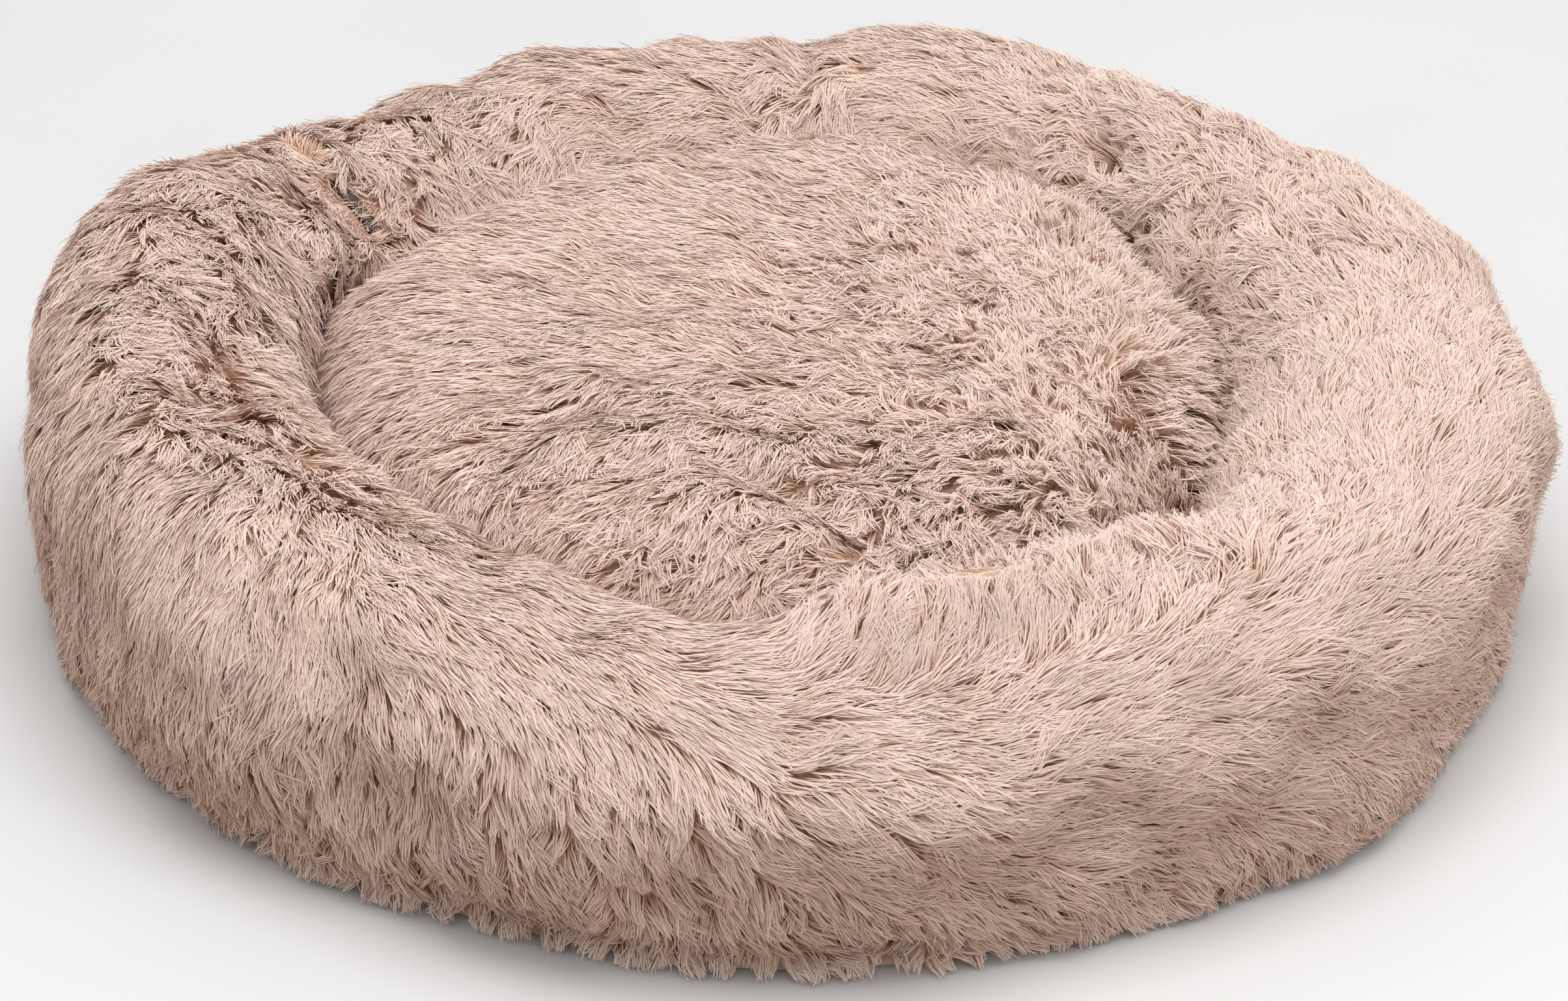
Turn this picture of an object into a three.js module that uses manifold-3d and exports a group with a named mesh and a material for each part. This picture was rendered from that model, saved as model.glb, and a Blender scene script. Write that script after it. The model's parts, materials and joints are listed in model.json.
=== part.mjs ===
import * as THREE from 'three';
import { mergeVertices } from 'three/addons/utils/BufferGeometryUtils.js';
import Module from 'manifold-3d';

const wasm = await Module();
wasm.setup();

// A round pet bed: a stuffed fur bolster sewn round a base, with a loose stuffed cushion in the nest.
// Millimetres, +Z up. The origin is on the floor, at the middle of the ring.

// Whole bed
const bedRadius = 400;
const bolsterHeight = 170;
const sewnGap = 0.3;

// Bolster: its section is two round shoulders over a foot that is tucked in
const outerShoulderRadius = 64;
const innerShoulderRadius = 77;
const footInset = 16;
const tuckAngle = 35;
const wallFootHeight = 6;
const pileDepth = 22;
const hemLift = 1.2;

// Each row is an azimuth in degrees, then shares of the bed's radius, of the bolster's height and of its
// inner shoulder. The form is level from 44 to 54 and from 138 to 148 degrees, where the zips lie.
const ringShares = [
  [0, 0.99, 0.97, 1.05],
  [22, 0.975, 0.98, 1.0],
  [44, 0.985, 0.95, 0.84],
  [54, 0.985, 0.95, 0.84],
  [70, 1.015, 1.0, 0.78],
  [85, 1.03, 0.95, 0.78],
  [100, 1.01, 0.98, 0.76],
  [122, 0.975, 0.93, 0.72],
  [138, 0.985, 0.95, 0.82],
  [148, 0.985, 0.95, 0.82],
  [163, 1.025, 1.09, 0.94],
  [185, 0.99, 1.03, 1.0],
  [207, 0.985, 0.99, 1.0],
  [226, 0.985, 0.96, 1.0],
  [248, 0.99, 0.92, 1.0],
  [270, 1.025, 0.9, 1.0],
  [300, 1.01, 0.87, 1.05],
  [318, 1.02, 0.93, 1.05],
  [340, 0.99, 0.97, 1.05],
];

// Cross seams of the bolster cover, as azimuths in degrees
const rightZipAzimuth = 49;
const backSeamAzimuth = 85;
const leftZipAzimuth = 143;
const leftSeamAzimuth = 207;
const frontSeamAzimuth = 300;

// Base and nest floor
const dotRadius = 5;
const dotHeight = 1;
const dotPitch = 105;
const dotSink = 0.5;
const basePanelThickness = 1.4;
const bindingWidth = 12;
const waddingThickness = 6;
const floorPanelThickness = 1.2;
const floorSeamLap = 1;

// Inner tubes of the bolster
const linerGap = 0.6;
const linerThickness = 1.2;
const fillingOpening = 30;
const openingPlaceShare = 0.35;
const tubeEndSetback = 10;

// Zips: angles are along the inner shoulder, from 0 at the outside over 90 at the crest
const zipStartAngle = 84;
const zipEndSetbackAngle = 10;
const tapeClearance = 1.6;
const tapeThickness = 0.8;
const tapeHalfGap = 0.4;
const tapeWidth = 12.6;
const chainStemHalf = 1.2;
const chainStemHeight = 2.2;
const chainHalfWidth = 3;
const chainHeadHeight = 2.2;
const runningGap = 0.4;
const sliderHalfWidth = 5.2;
const sliderLength = 16;
const sliderPlate = 1.6;
const stopLength = 2.5;
const stopHeight = 3;
const slotHalfWidth = 8;
const slotStartMargin = 1.5;
const slotEndMargin = 10;
const cutOverrun = 8;

// Pull tab and the bridge that holds it on the slider
const bridgeLength = 8.4;
const bridgeLeg = 1.2;
const bridgeHalfWidth = 1.1;
const bridgeOpening = 2.4;
const bridgeSink = 0.5;
const tabBar = 1.2;
const tabPivotLift = 1;
const tabHalfWidth = 3.2;
const tabHoleHalfWidth = 1.8;
const tabHoleLength = 5.2;
const tabLength = 18;

// Cushion
const cushionGap = 5;
const cushionCrown = 146;
const cushionSeamHeight = 48;
const cushionPileDepth = 20;
const undersideThickness = 1.5;
const cushionTopRoundness = 5;
const cushionTopPower = 0.4;
const cushionUnderRoundness = 5;
const cushionUnderPower = 0.5;
const flatFloorShare = 1.06;
const puckerCount = 10;
const puckerShare = 0.01;
const creaseStart = [-47, -102];
const creaseEnd = [62, -205];
const creaseDepth = 9;
const creaseWidth = 24;

// How finely the round forms are cut
const ringStepCount = 48;
const coverSteps = { belly: 3, outer: 4, inner: 6 };
const tubeSteps = { belly: 2, outer: 2, inner: 4 };
const zipSteps = 19;
const sliderSteps = 5;
const cushionSides = 40;
const cushionRings = 8;
const undersideRings = 5;
const dotSides = 6;

const zipEndAngle = 180 + tuckAngle - zipEndSetbackAngle;
const linerDepth = pileDepth + tapeClearance + tapeThickness + linerGap;
const baseTop = dotHeight + basePanelThickness;
const tubeFloor = baseTop + sewnGap;
const waddingTop = tubeFloor + waddingThickness;
const floorPanelBottom = waddingTop + sewnGap;
const nestFloor = floorPanelBottom + floorPanelThickness + sewnGap;

// Colours and finishes
const furFinish = { color: 0xd2b9ab, roughness: 0.95, metalness: 0 };
const liningFinish = { color: 0xcdb9a8, roughness: 0.95, metalness: 0 };
const baseFinish = { color: 0xb09c8e, roughness: 0.9, metalness: 0 };
const fillingFinish = { color: 0xf1eee8, roughness: 1, metalness: 0 };
const tapeFinish = { color: 0x85776d, roughness: 0.9, metalness: 0 };
const coilFinish = { color: 0x6f6259, roughness: 0.5, metalness: 0 };
const metalFinish = { color: 0x9b938b, roughness: 0.35, metalness: 0.9 };

const radians = THREE.MathUtils.degToRad;
const degrees = THREE.MathUtils.radToDeg;
const bed = new THREE.Group();

function addPiece(name, geometry, finish) {
  geometry.computeVertexNormals();
  const mesh = new THREE.Mesh(geometry, new THREE.MeshStandardMaterial(finish));
  mesh.name = name;
  bed.add(mesh);
}

// The bolster's radius, height and inner shoulder at an azimuth, eased from one row of shares to the next
function ringForm(azimuth) {
  const turn = THREE.MathUtils.euclideanModulo(azimuth, 360);
  const [firstAzimuth, ...firstShares] = ringShares[0];
  const rows = [...ringShares, [firstAzimuth + 360, ...firstShares]];
  const next = rows.findIndex((row) => row[0] > turn);
  const [fromAzimuth, fromRadius, fromHeight, fromInner] = rows[next - 1];
  const [toAzimuth, toRadius, toHeight, toInner] = rows[next];
  const blend = THREE.MathUtils.smoothstep(turn, fromAzimuth, toAzimuth);
  return {
    radius: bedRadius * THREE.MathUtils.lerp(fromRadius, toRadius, blend),
    height: bolsterHeight * THREE.MathUtils.lerp(fromHeight, toHeight, blend),
    shoulder: innerShoulderRadius * THREE.MathUtils.lerp(fromInner, toInner, blend),
  };
}

// Even azimuths all the way round, with the seams in place of the nearest ones
function ringAzimuths() {
  const seams = [rightZipAzimuth, backSeamAzimuth, leftZipAzimuth, leftSeamAzimuth, frontSeamAzimuth];
  const step = 360 / ringStepCount;
  const even = Array.from({ length: ringStepCount }, (_, index) => index * step);
  const kept = even.filter((azimuth) => seams.every((seam) => Math.abs(seam - azimuth) > step / 3));
  return [...kept, ...seams].sort((first, second) => first - second);
}

function azimuthsBetween(start, end) {
  const margin = 0.5;
  const around = ringAzimuths();
  const inner = [...around, ...around.map((azimuth) => azimuth + 360)].filter(
    (azimuth) => azimuth > start + margin && azimuth < end - margin,
  );
  return [start, ...inner, end];
}

function arcPoints(centre, radii, fromAngle, toAngle, steps) {
  return Array.from({ length: steps + 1 }, (_, index) => {
    const angle = radians(THREE.MathUtils.lerp(fromAngle, toAngle, index / steps));
    return [centre[0] + radii[0] * Math.cos(angle), centre[1] + radii[1] * Math.sin(angle)];
  });
}

// How far the inner shoulder goes on below its middle, in degrees, before the wall drops to the nest floor
function wallTuck(centreHeight, reach) {
  const lowest = nestFloor + wallFootHeight;
  const toWallFoot = degrees(Math.asin(Math.min(1, (centreHeight - lowest) / reach)));
  return Math.min(tuckAngle, toWallFoot);
}

function wallFootRadius(azimuth, depth) {
  const { radius, height, shoulder } = ringForm(azimuth);
  const reach = shoulder - depth;
  return radius - outerShoulderRadius - reach * Math.cos(radians(wallTuck(height - shoulder, reach)));
}

// The bolster's section as [radius, height] points, from its outer foot over the crest to its inner foot
function bolsterPath(azimuth, depth, outerFoot, innerFoot, steps) {
  const { radius, height, shoulder } = ringForm(azimuth);
  const crestRadius = radius - outerShoulderRadius;
  const outerCentre = height - outerShoulderRadius;
  const innerCentre = height - shoulder;
  const footCentre = [radius - footInset - depth, outerCentre];
  const belly = arcPoints(footCentre, [footInset, outerCentre - outerFoot], -90, 0, steps.belly);
  const outerReach = outerShoulderRadius - depth;
  const outer = arcPoints([crestRadius, outerCentre], [outerReach, outerReach], 0, 90, steps.outer);
  const innerReach = shoulder - depth;
  const endAngle = 180 + wallTuck(innerCentre, innerReach);
  const inner = arcPoints([crestRadius, innerCentre], [innerReach, innerReach], 90, endAngle, steps.inner);
  const footRadius = inner[inner.length - 1][0];
  return [...belly, ...outer.slice(1), ...inner.slice(1), [footRadius, innerFoot]];
}

function signedVolume(positions, triangles) {
  const [a, b, c] = [new THREE.Vector3(), new THREE.Vector3(), new THREE.Vector3()];
  let sum = 0;
  for (let index = 0; index < triangles.length; index += 3) {
    a.fromArray(positions, 3 * triangles[index]);
    b.fromArray(positions, 3 * triangles[index + 1]);
    c.fromArray(positions, 3 * triangles[index + 2]);
    sum += a.dot(b.cross(c));
  }
  return sum;
}

// A closed geometry whose faces are turned to point out
function closedGeometry(positions, triangles) {
  const facesOut = signedVolume(positions, triangles) > 0;
  const geometry = new THREE.BufferGeometry();
  geometry.setAttribute('position', new THREE.Float32BufferAttribute(positions, 3));
  geometry.setIndex(facesOut ? triangles : [...triangles].reverse());
  return geometry;
}

// Sweeps closed loops of 3D points, one for each station, into one solid. A shell's loop goes out along
// one side and back along the other, and both sides are cut along the same diagonals.
function sweptSolid(loops, outline, { isRing = false, isShell = false } = {}) {
  const size = loops[0].length;
  const positions = loops.flat(2);
  const triangles = [];
  const spans = isRing ? loops.length : loops.length - 1;
  for (let station = 0; station < spans; station += 1) {
    const next = (station + 1) % loops.length;
    for (let index = 0; index < size; index += 1) {
      const after = (index + 1) % size;
      const [a, b] = [station * size + index, station * size + after];
      const [c, d] = [next * size + index, next * size + after];
      const isWayBack = isShell && 2 * index >= size;
      triangles.push(...(isWayBack ? [a, b, c, b, d, c] : [a, b, d, a, d, c]));
    }
  }
  if (!isRing) {
    const contour = outline.map(([x, y]) => new THREE.Vector2(x, y));
    const last = (loops.length - 1) * size;
    for (const [a, b, c] of THREE.ShapeUtils.triangulateShape(contour, [])) {
      triangles.push(...capOrder(contour, a, b, c));
      const [d, e, f] = capOrder(contour, a, b, c);
      triangles.push(last + f, last + e, last + d);
    }
  }
  return closedGeometry(positions, triangles);
}

// Puts a cap triangle in the winding that runs against the outline's own
function capOrder(contour, a, b, c) {
  const outlineIsLeft = THREE.ShapeUtils.area(contour) > 0;
  const triangleIsLeft = THREE.ShapeUtils.area([contour[a], contour[b], contour[c]]) > 0;
  return outlineIsLeft === triangleIsLeft ? [a, c, b] : [a, b, c];
}

function ringPoint(azimuth, [radius, height]) {
  const angle = radians(azimuth);
  return [radius * Math.cos(angle), radius * Math.sin(angle), height];
}

function ringSolid(azimuths, loopAt, options) {
  const loops = azimuths.map((azimuth) => loopAt(azimuth).map((point) => ringPoint(azimuth, point)));
  return sweptSolid(loops, loopAt(azimuths[0]), options);
}

// Turns a profile that starts and ends on the axis, and that may change with the azimuth. Its first half
// goes out and its second half comes back, and both are cut along the same diagonals.
function turnedSolid(azimuths, profileAt) {
  const profiles = azimuths.map((azimuth) => profileAt(azimuth));
  const size = profiles[0].length;
  const positions = [0, 0, profiles[0][0][1]];
  profiles.forEach((profile, side) => {
    for (const point of profile.slice(1, -1)) positions.push(...ringPoint(azimuths[side], point));
  });
  positions.push(0, 0, profiles[0][size - 1][1]);
  const lastPole = positions.length / 3 - 1;
  const rings = size - 2;
  const triangles = [];
  azimuths.forEach((_, side) => {
    const here = 1 + side * rings;
    const there = 1 + ((side + 1) % azimuths.length) * rings;
    triangles.push(0, here, there);
    for (let ring = 0; ring < rings - 1; ring += 1) {
      const [a, b, c, d] = [here + ring, here + ring + 1, there + ring, there + ring + 1];
      const isWayBack = 2 * (ring + 1) >= size;
      triangles.push(...(isWayBack ? [a, b, c, b, d, c] : [a, b, d, a, d, c]));
    }
    triangles.push(here + rings - 1, lastPole, there + rings - 1);
  });
  return closedGeometry(positions, triangles);
}

function toManifold(geometry) {
  const bare = geometry.clone();
  bare.deleteAttribute('normal');
  bare.deleteAttribute('uv');
  const merged = mergeVertices(bare, 1e-4);
  return new wasm.Manifold(
    new wasm.Mesh({
      numProp: 3,
      vertProperties: new Float32Array(merged.attributes.position.array),
      triVerts: new Uint32Array(merged.index.array),
    }),
  );
}

function fromManifold(solid) {
  const mesh = solid.getMesh();
  const geometry = new THREE.BufferGeometry();
  geometry.setAttribute('position', new THREE.BufferAttribute(new Float32Array(mesh.vertProperties), 3));
  geometry.setIndex(new THREE.BufferAttribute(new Uint32Array(mesh.triVerts), 1));
  return geometry;
}

// A zip lies on a round arc over the inner shoulder, in layers from the tapes up to the pull tab's pivot.
// Its points are an angle, a side step and a radius.
function zipFrame(seam) {
  const { radius, height, shoulder } = ringForm(seam);
  const out = new THREE.Vector3(Math.cos(radians(seam)), Math.sin(radians(seam)), 0);
  const across = new THREE.Vector3(-Math.sin(radians(seam)), Math.cos(radians(seam)), 0);
  const centre = out.clone().multiplyScalar(radius - outerShoulderRadius);
  centre.z = height - shoulder;
  const tapeTop = shoulder - pileDepth - tapeClearance;
  const chainBottom = tapeTop + sewnGap;
  const chainHead = chainBottom + chainStemHeight;
  const chainTop = chainHead + chainHeadHeight;
  const sliderTop = chainTop + runningGap + sliderPlate;
  const pivot = sliderTop + tabPivotLift;
  const alongZip = (length) => degrees(length / chainHead);
  const sliderStart = zipStartAngle + alongZip(sewnGap);
  const sliderMiddle = sliderStart + alongZip(sliderLength / 2);
  return {
    out, across, centre, shoulder, tapeTop, chainBottom, chainHead, chainTop, sliderTop, pivot,
    alongZip, sliderStart, sliderMiddle,
  };
}

function zipPoint(frame, angle, side, reach) {
  return frame.centre
    .clone()
    .addScaledVector(frame.out, reach * Math.cos(radians(angle)))
    .addScaledVector(frame.across, side)
    .add(new THREE.Vector3(0, 0, reach * Math.sin(radians(angle))))
    .toArray();
}

// Sweeps a section of [side, radius] points along the zip's arc
function zipSweep(frame, section, fromAngle, toAngle, steps) {
  const loops = Array.from({ length: steps + 1 }, (_, index) => {
    const angle = THREE.MathUtils.lerp(fromAngle, toAngle, index / steps);
    return section.map(([side, reach]) => zipPoint(frame, angle, side, reach));
  });
  return sweptSolid(loops, section);
}

function boxSection(fromSide, toSide, fromReach, toReach) {
  return [[fromSide, fromReach], [toSide, fromReach], [toSide, toReach], [fromSide, toReach]];
}

// The opening in the pile that the zip lies in
function zipSlot(frame) {
  const { tapeTop, shoulder, alongZip } = frame;
  const section = boxSection(-slotHalfWidth, slotHalfWidth, tapeTop - cutOverrun, shoulder + cutOverrun);
  const start = zipStartAngle - alongZip(sewnGap + stopLength + slotStartMargin);
  const end = zipEndAngle + alongZip(sewnGap + stopLength + slotEndMargin);
  return toManifold(zipSweep(frame, section, start, end, zipSteps));
}

function buildBolsterCover() {
  const coverLoop = (azimuth) => [
    ...bolsterPath(azimuth, 0, hemLift, nestFloor, coverSteps),
    ...bolsterPath(azimuth, pileDepth, hemLift, nestFloor, coverSteps).reverse(),
  ];
  const panels = [
    ['bolster_cover_right', frontSeamAzimuth, rightZipAzimuth + 360],
    ['bolster_cover_back_right', rightZipAzimuth, backSeamAzimuth],
    ['bolster_cover_back_left', backSeamAzimuth, leftZipAzimuth],
    ['bolster_cover_left', leftZipAzimuth, leftSeamAzimuth],
    ['bolster_cover_front', leftSeamAzimuth, frontSeamAzimuth],
  ];
  const slots = [rightZipAzimuth, leftZipAzimuth].map((seam) => zipSlot(zipFrame(seam)));
  const seamAngle = degrees(sewnGap / 2 / (bedRadius - outerShoulderRadius - innerShoulderRadius));
  for (const [name, start, end] of panels) {
    const azimuths = azimuthsBetween(start + seamAngle, end - seamAngle);
    let panel = toManifold(ringSolid(azimuths, coverLoop, { isShell: true }));
    for (const slot of slots) panel = panel.subtract(slot);
    addPiece(name, fromManifold(panel), furFinish);
  }
}

// A stuffed tube inside the cover, with an opening along its underside where it was filled
function buildInnerTube(name, startSeam, endSeam) {
  const setback = degrees(tubeEndSetback / (bedRadius - outerShoulderRadius - innerShoulderRadius));
  const azimuths = azimuthsBetween(startSeam + setback, endSeam - setback);
  const fillDepth = linerDepth + linerThickness + sewnGap;
  const underside = (azimuth, side, floor) => {
    const outerFoot = ringForm(azimuth).radius - footInset - linerDepth;
    const middle = THREE.MathUtils.lerp(outerFoot, wallFootRadius(azimuth, linerDepth), openingPlaceShare);
    return [middle + side * fillingOpening / 2, floor];
  };
  const linerPath = (azimuth, depth, floor) => [
    underside(azimuth, 1, floor),
    ...bolsterPath(azimuth, depth, floor, floor, tubeSteps),
    underside(azimuth, -1, floor),
  ];
  const innerFloor = tubeFloor + linerThickness;
  const linerLoop = (azimuth) => [
    ...linerPath(azimuth, linerDepth, tubeFloor),
    ...linerPath(azimuth, linerDepth + linerThickness, innerFloor).reverse(),
  ];
  const fillFloor = innerFloor + sewnGap;
  const fillLoop = (azimuth) => bolsterPath(azimuth, fillDepth, fillFloor, fillFloor, tubeSteps);
  addPiece(`${name}_liner`, ringSolid(azimuths, linerLoop, { isShell: true }), liningFinish);
  addPiece(`${name}_fill`, ringSolid(azimuths, fillLoop), fillingFinish);
}

function flatDisc(radiusAt, bottom, top) {
  return turnedSolid(ringAzimuths(), (azimuth) => {
    const radius = radiusAt(azimuth);
    return [[0, top], [radius, top], [radius, bottom], [0, bottom]];
  });
}

// Anti-slip dots under the base, in a six-sided pattern inside the rim
function antiSlipDots(rim) {
  const dots = [];
  const rowPitch = dotPitch * Math.sin(radians(60));
  const rows = Math.floor(rim / rowPitch);
  for (let row = -rows; row <= rows; row += 1) {
    const shift = row % 2 === 0 ? 0 : dotPitch / 2;
    const columns = Math.ceil(rim / dotPitch);
    for (let column = -columns; column <= columns; column += 1) {
      const [x, y] = [column * dotPitch + shift, row * rowPitch];
      if (Math.hypot(x, y) > rim) continue;
      const dot = new THREE.CylinderGeometry(dotRadius, dotRadius, dotHeight + dotSink, dotSides);
      dot.rotateX(radians(90));
      dot.translate(x, y, (dotHeight + dotSink) / 2);
      dots.push(toManifold(dot));
    }
  }
  return dots;
}

function buildBase() {
  const coverFootAt = (azimuth) => ringForm(azimuth).radius - footInset - pileDepth - sewnGap;
  const panelEdgeAt = (azimuth) => coverFootAt(azimuth) - bindingWidth - sewnGap;
  let panel = toManifold(flatDisc(panelEdgeAt, dotHeight, baseTop));
  const dotRim = bedRadius - footInset - pileDepth - bindingWidth - outerShoulderRadius / 2;
  for (const dot of antiSlipDots(dotRim)) panel = panel.add(dot);
  addPiece('base_panel', fromManifold(panel), baseFinish);
  const bindingLoop = (azimuth) => {
    const edge = coverFootAt(azimuth);
    return [[edge, hemLift], [edge, baseTop], [edge - bindingWidth, baseTop], [edge - bindingWidth, hemLift]];
  };
  addPiece('base_binding', ringSolid(ringAzimuths(), bindingLoop, { isRing: true }), baseFinish);
  const floorEdgeAt = (azimuth) => wallFootRadius(azimuth, pileDepth) + floorSeamLap;
  addPiece('base_wadding', flatDisc(floorEdgeAt, tubeFloor, waddingTop), fillingFinish);
  const floorTop = floorPanelBottom + floorPanelThickness;
  addPiece('nest_floor_panel', flatDisc(floorEdgeAt, floorPanelBottom, floorTop), liningFinish);
}

// Moves a piece drawn as along, side and lift into place over the middle of the slider
function placeOnSlider(geometry, frame) {
  const angle = radians(frame.sliderMiddle);
  const lift = frame.out.clone().multiplyScalar(Math.cos(angle));
  lift.z = Math.sin(angle);
  const along = frame.across.clone().cross(lift).negate();
  const origin = zipPoint(frame, frame.sliderMiddle, 0, 0);
  const placing = new THREE.Matrix4().makeBasis(along, frame.across.clone().negate(), lift);
  placing.setPosition(...origin);
  return geometry.applyMatrix4(placing);
}

function sliderSolid(frame) {
  const [outside, inside] = [sliderHalfWidth, chainHalfWidth + runningGap];
  const lip = chainStemHalf + runningGap;
  const lipBottom = frame.tapeTop + runningGap;
  const lipTop = frame.chainHead - runningGap;
  const ceiling = frame.chainTop + runningGap;
  const section = [
    [lip, lipBottom], [outside, lipBottom], [outside, frame.sliderTop], [-outside, frame.sliderTop],
    [-outside, lipBottom], [-lip, lipBottom], [-lip, lipTop], [-inside, lipTop],
    [-inside, ceiling], [inside, ceiling], [inside, lipTop], [lip, lipTop],
  ];
  const endAngle = frame.sliderStart + frame.alongZip(sliderLength);
  const channel = toManifold(zipSweep(frame, section, frame.sliderStart, endAngle, sliderSteps));
  const half = bridgeLength / 2;
  const arch = new THREE.Shape();
  arch.moveTo(-half, -bridgeSink);
  arch.lineTo(-half, bridgeOpening + bridgeLeg);
  arch.lineTo(half, bridgeOpening + bridgeLeg);
  arch.lineTo(half, -bridgeSink);
  arch.lineTo(half - bridgeLeg, -bridgeSink);
  arch.lineTo(half - bridgeLeg, bridgeOpening);
  arch.lineTo(bridgeLeg - half, bridgeOpening);
  arch.lineTo(bridgeLeg - half, -bridgeSink);
  const bridge = new THREE.ExtrudeGeometry(arch, { depth: 2 * bridgeHalfWidth, bevelEnabled: false });
  bridge.rotateX(radians(90));
  bridge.translate(0, bridgeHalfWidth, frame.sliderTop);
  return fromManifold(channel.add(toManifold(placeOnSlider(bridge, frame))));
}

function pullTabGeometry(frame) {
  const outline = new THREE.Shape();
  outline.moveTo(-tabBar / 2, -tabHalfWidth);
  outline.lineTo(tabLength - tabHalfWidth, -tabHalfWidth);
  outline.absarc(tabLength - tabHalfWidth, 0, tabHalfWidth, -Math.PI / 2, Math.PI / 2, false);
  outline.lineTo(-tabBar / 2, tabHalfWidth);
  const hole = new THREE.Path();
  const [holeStart, holeEnd] = [tabBar / 2, tabBar / 2 + tabHoleLength];
  hole.moveTo(holeStart, -tabHoleHalfWidth);
  hole.lineTo(holeEnd, -tabHoleHalfWidth);
  hole.lineTo(holeEnd, tabHoleHalfWidth);
  hole.lineTo(holeStart, tabHoleHalfWidth);
  outline.holes.push(hole);
  const tab = new THREE.ExtrudeGeometry(outline, { depth: tabBar, bevelEnabled: false, curveSegments: 5 });
  tab.translate(0, 0, frame.pivot - tabBar / 2);
  return fromManifold(toManifold(placeOnSlider(tab, frame)));
}

function buildZip(name, seam) {
  const frame = zipFrame(seam);
  const { tapeTop, chainBottom, chainHead, chainTop, alongZip } = frame;
  const tapeStart = zipStartAngle - alongZip(sewnGap + stopLength);
  const tapeEnd = zipEndAngle + alongZip(sewnGap + stopLength);
  const tapeEdge = tapeHalfGap + tapeWidth;
  const tapes = { front_tape: [tapeHalfGap, tapeEdge], back_tape: [-tapeEdge, -tapeHalfGap] };
  for (const [tape, [fromSide, toSide]] of Object.entries(tapes)) {
    const section = boxSection(fromSide, toSide, tapeTop - tapeThickness, tapeTop);
    addPiece(`${name}_${tape}`, zipSweep(frame, section, tapeStart, tapeEnd, zipSteps), tapeFinish);
  }
  const chain = [
    [-chainStemHalf, chainBottom], [chainStemHalf, chainBottom],
    [chainStemHalf, chainHead], [chainHalfWidth, chainHead],
    [chainHalfWidth, chainTop], [-chainHalfWidth, chainTop],
    [-chainHalfWidth, chainHead], [-chainStemHalf, chainHead],
  ];
  addPiece(`${name}_chain`, zipSweep(frame, chain, zipStartAngle, zipEndAngle, zipSteps), coilFinish);
  const stop = boxSection(-chainHalfWidth, chainHalfWidth, chainBottom, chainBottom + stopHeight);
  const topStopEnd = zipStartAngle - alongZip(sewnGap);
  const topStop = zipSweep(frame, stop, topStopEnd - alongZip(stopLength), topStopEnd, 1);
  addPiece(`${name}_top_stop`, topStop, metalFinish);
  const bottomStopStart = zipEndAngle + alongZip(sewnGap);
  const bottomStopEnd = bottomStopStart + alongZip(stopLength);
  addPiece(`${name}_bottom_stop`, zipSweep(frame, stop, bottomStopStart, bottomStopEnd, 1), metalFinish);
  addPiece(`${name}_slider`, sliderSolid(frame), metalFinish);
  addPiece(`${name}_pull_tab`, pullTabGeometry(frame), metalFinish);
}

// The fold that runs over the front of the cushion's top
function creaseDrop(azimuth, radius) {
  const [x, y] = ringPoint(azimuth, [radius, 0]);
  const fold = new THREE.Line3(new THREE.Vector3(...creaseStart, 0), new THREE.Vector3(...creaseEnd, 0));
  const point = new THREE.Vector3(x, y, 0);
  const away = fold.closestPointToPoint(point, true, new THREE.Vector3()).distanceTo(point);
  return creaseDepth * Math.exp(-((away / creaseWidth) ** 2));
}

function cushionEdge(azimuth) {
  const { radius, shoulder } = ringForm(azimuth);
  const nestRadius = radius - outerShoulderRadius - shoulder;
  return (nestRadius - cushionGap) * (1 - puckerShare * (1 + Math.cos(radians(puckerCount * azimuth))));
}

// Shares of the cushion's radius, from the middle out. They close up towards the edge, where it is steep.
function radiusShares(rings) {
  return Array.from({ length: rings + 1 }, (_, ring) => Math.sin((radians(90) * ring) / rings));
}

function cushionTop(azimuth, inset) {
  const outerEdge = cushionEdge(azimuth);
  const edge = outerEdge - inset;
  const rise = cushionCrown - cushionSeamHeight - inset;
  return radiusShares(cushionRings).map((share) => {
    const swell = Math.max(0, 1 - share ** cushionTopRoundness) ** cushionTopPower;
    const drop = creaseDrop(azimuth, outerEdge * share);
    return [edge * share, cushionSeamHeight + (rise - drop) * swell];
  });
}

function cushionUnder(azimuth, inset, lift, seam) {
  const edge = cushionEdge(azimuth) - inset;
  const floor = nestFloor + lift;
  return radiusShares(undersideRings).map((share) => {
    const swell = Math.max(0, 1 - share ** cushionUnderRoundness) ** cushionUnderPower;
    return [edge * share, Math.max(floor, seam - (seam - floor) * flatFloorShare * swell)];
  });
}

function buildCushion() {
  const azimuths = Array.from({ length: cushionSides }, (_, side) => (360 * side) / cushionSides);
  const topProfile = (azimuth) => [
    ...cushionTop(azimuth, 0),
    ...cushionTop(azimuth, cushionPileDepth).reverse(),
  ];
  addPiece('cushion_fur_top', turnedSolid(azimuths, topProfile), furFinish);
  const underSeam = cushionSeamHeight - sewnGap;
  const underProfile = (azimuth) => [
    ...cushionUnder(azimuth, undersideThickness, undersideThickness, underSeam),
    ...cushionUnder(azimuth, 0, 0, underSeam).reverse(),
  ];
  addPiece('cushion_underside', turnedSolid(azimuths, underProfile), liningFinish);
  const topInset = cushionPileDepth + sewnGap;
  const underLift = undersideThickness + sewnGap;
  const fillProfile = (azimuth) => [
    ...cushionTop(azimuth, topInset),
    ...cushionUnder(azimuth, topInset, underLift, underSeam).reverse(),
  ];
  addPiece('cushion_fill', turnedSolid(azimuths, fillProfile), fillingFinish);
}

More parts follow.
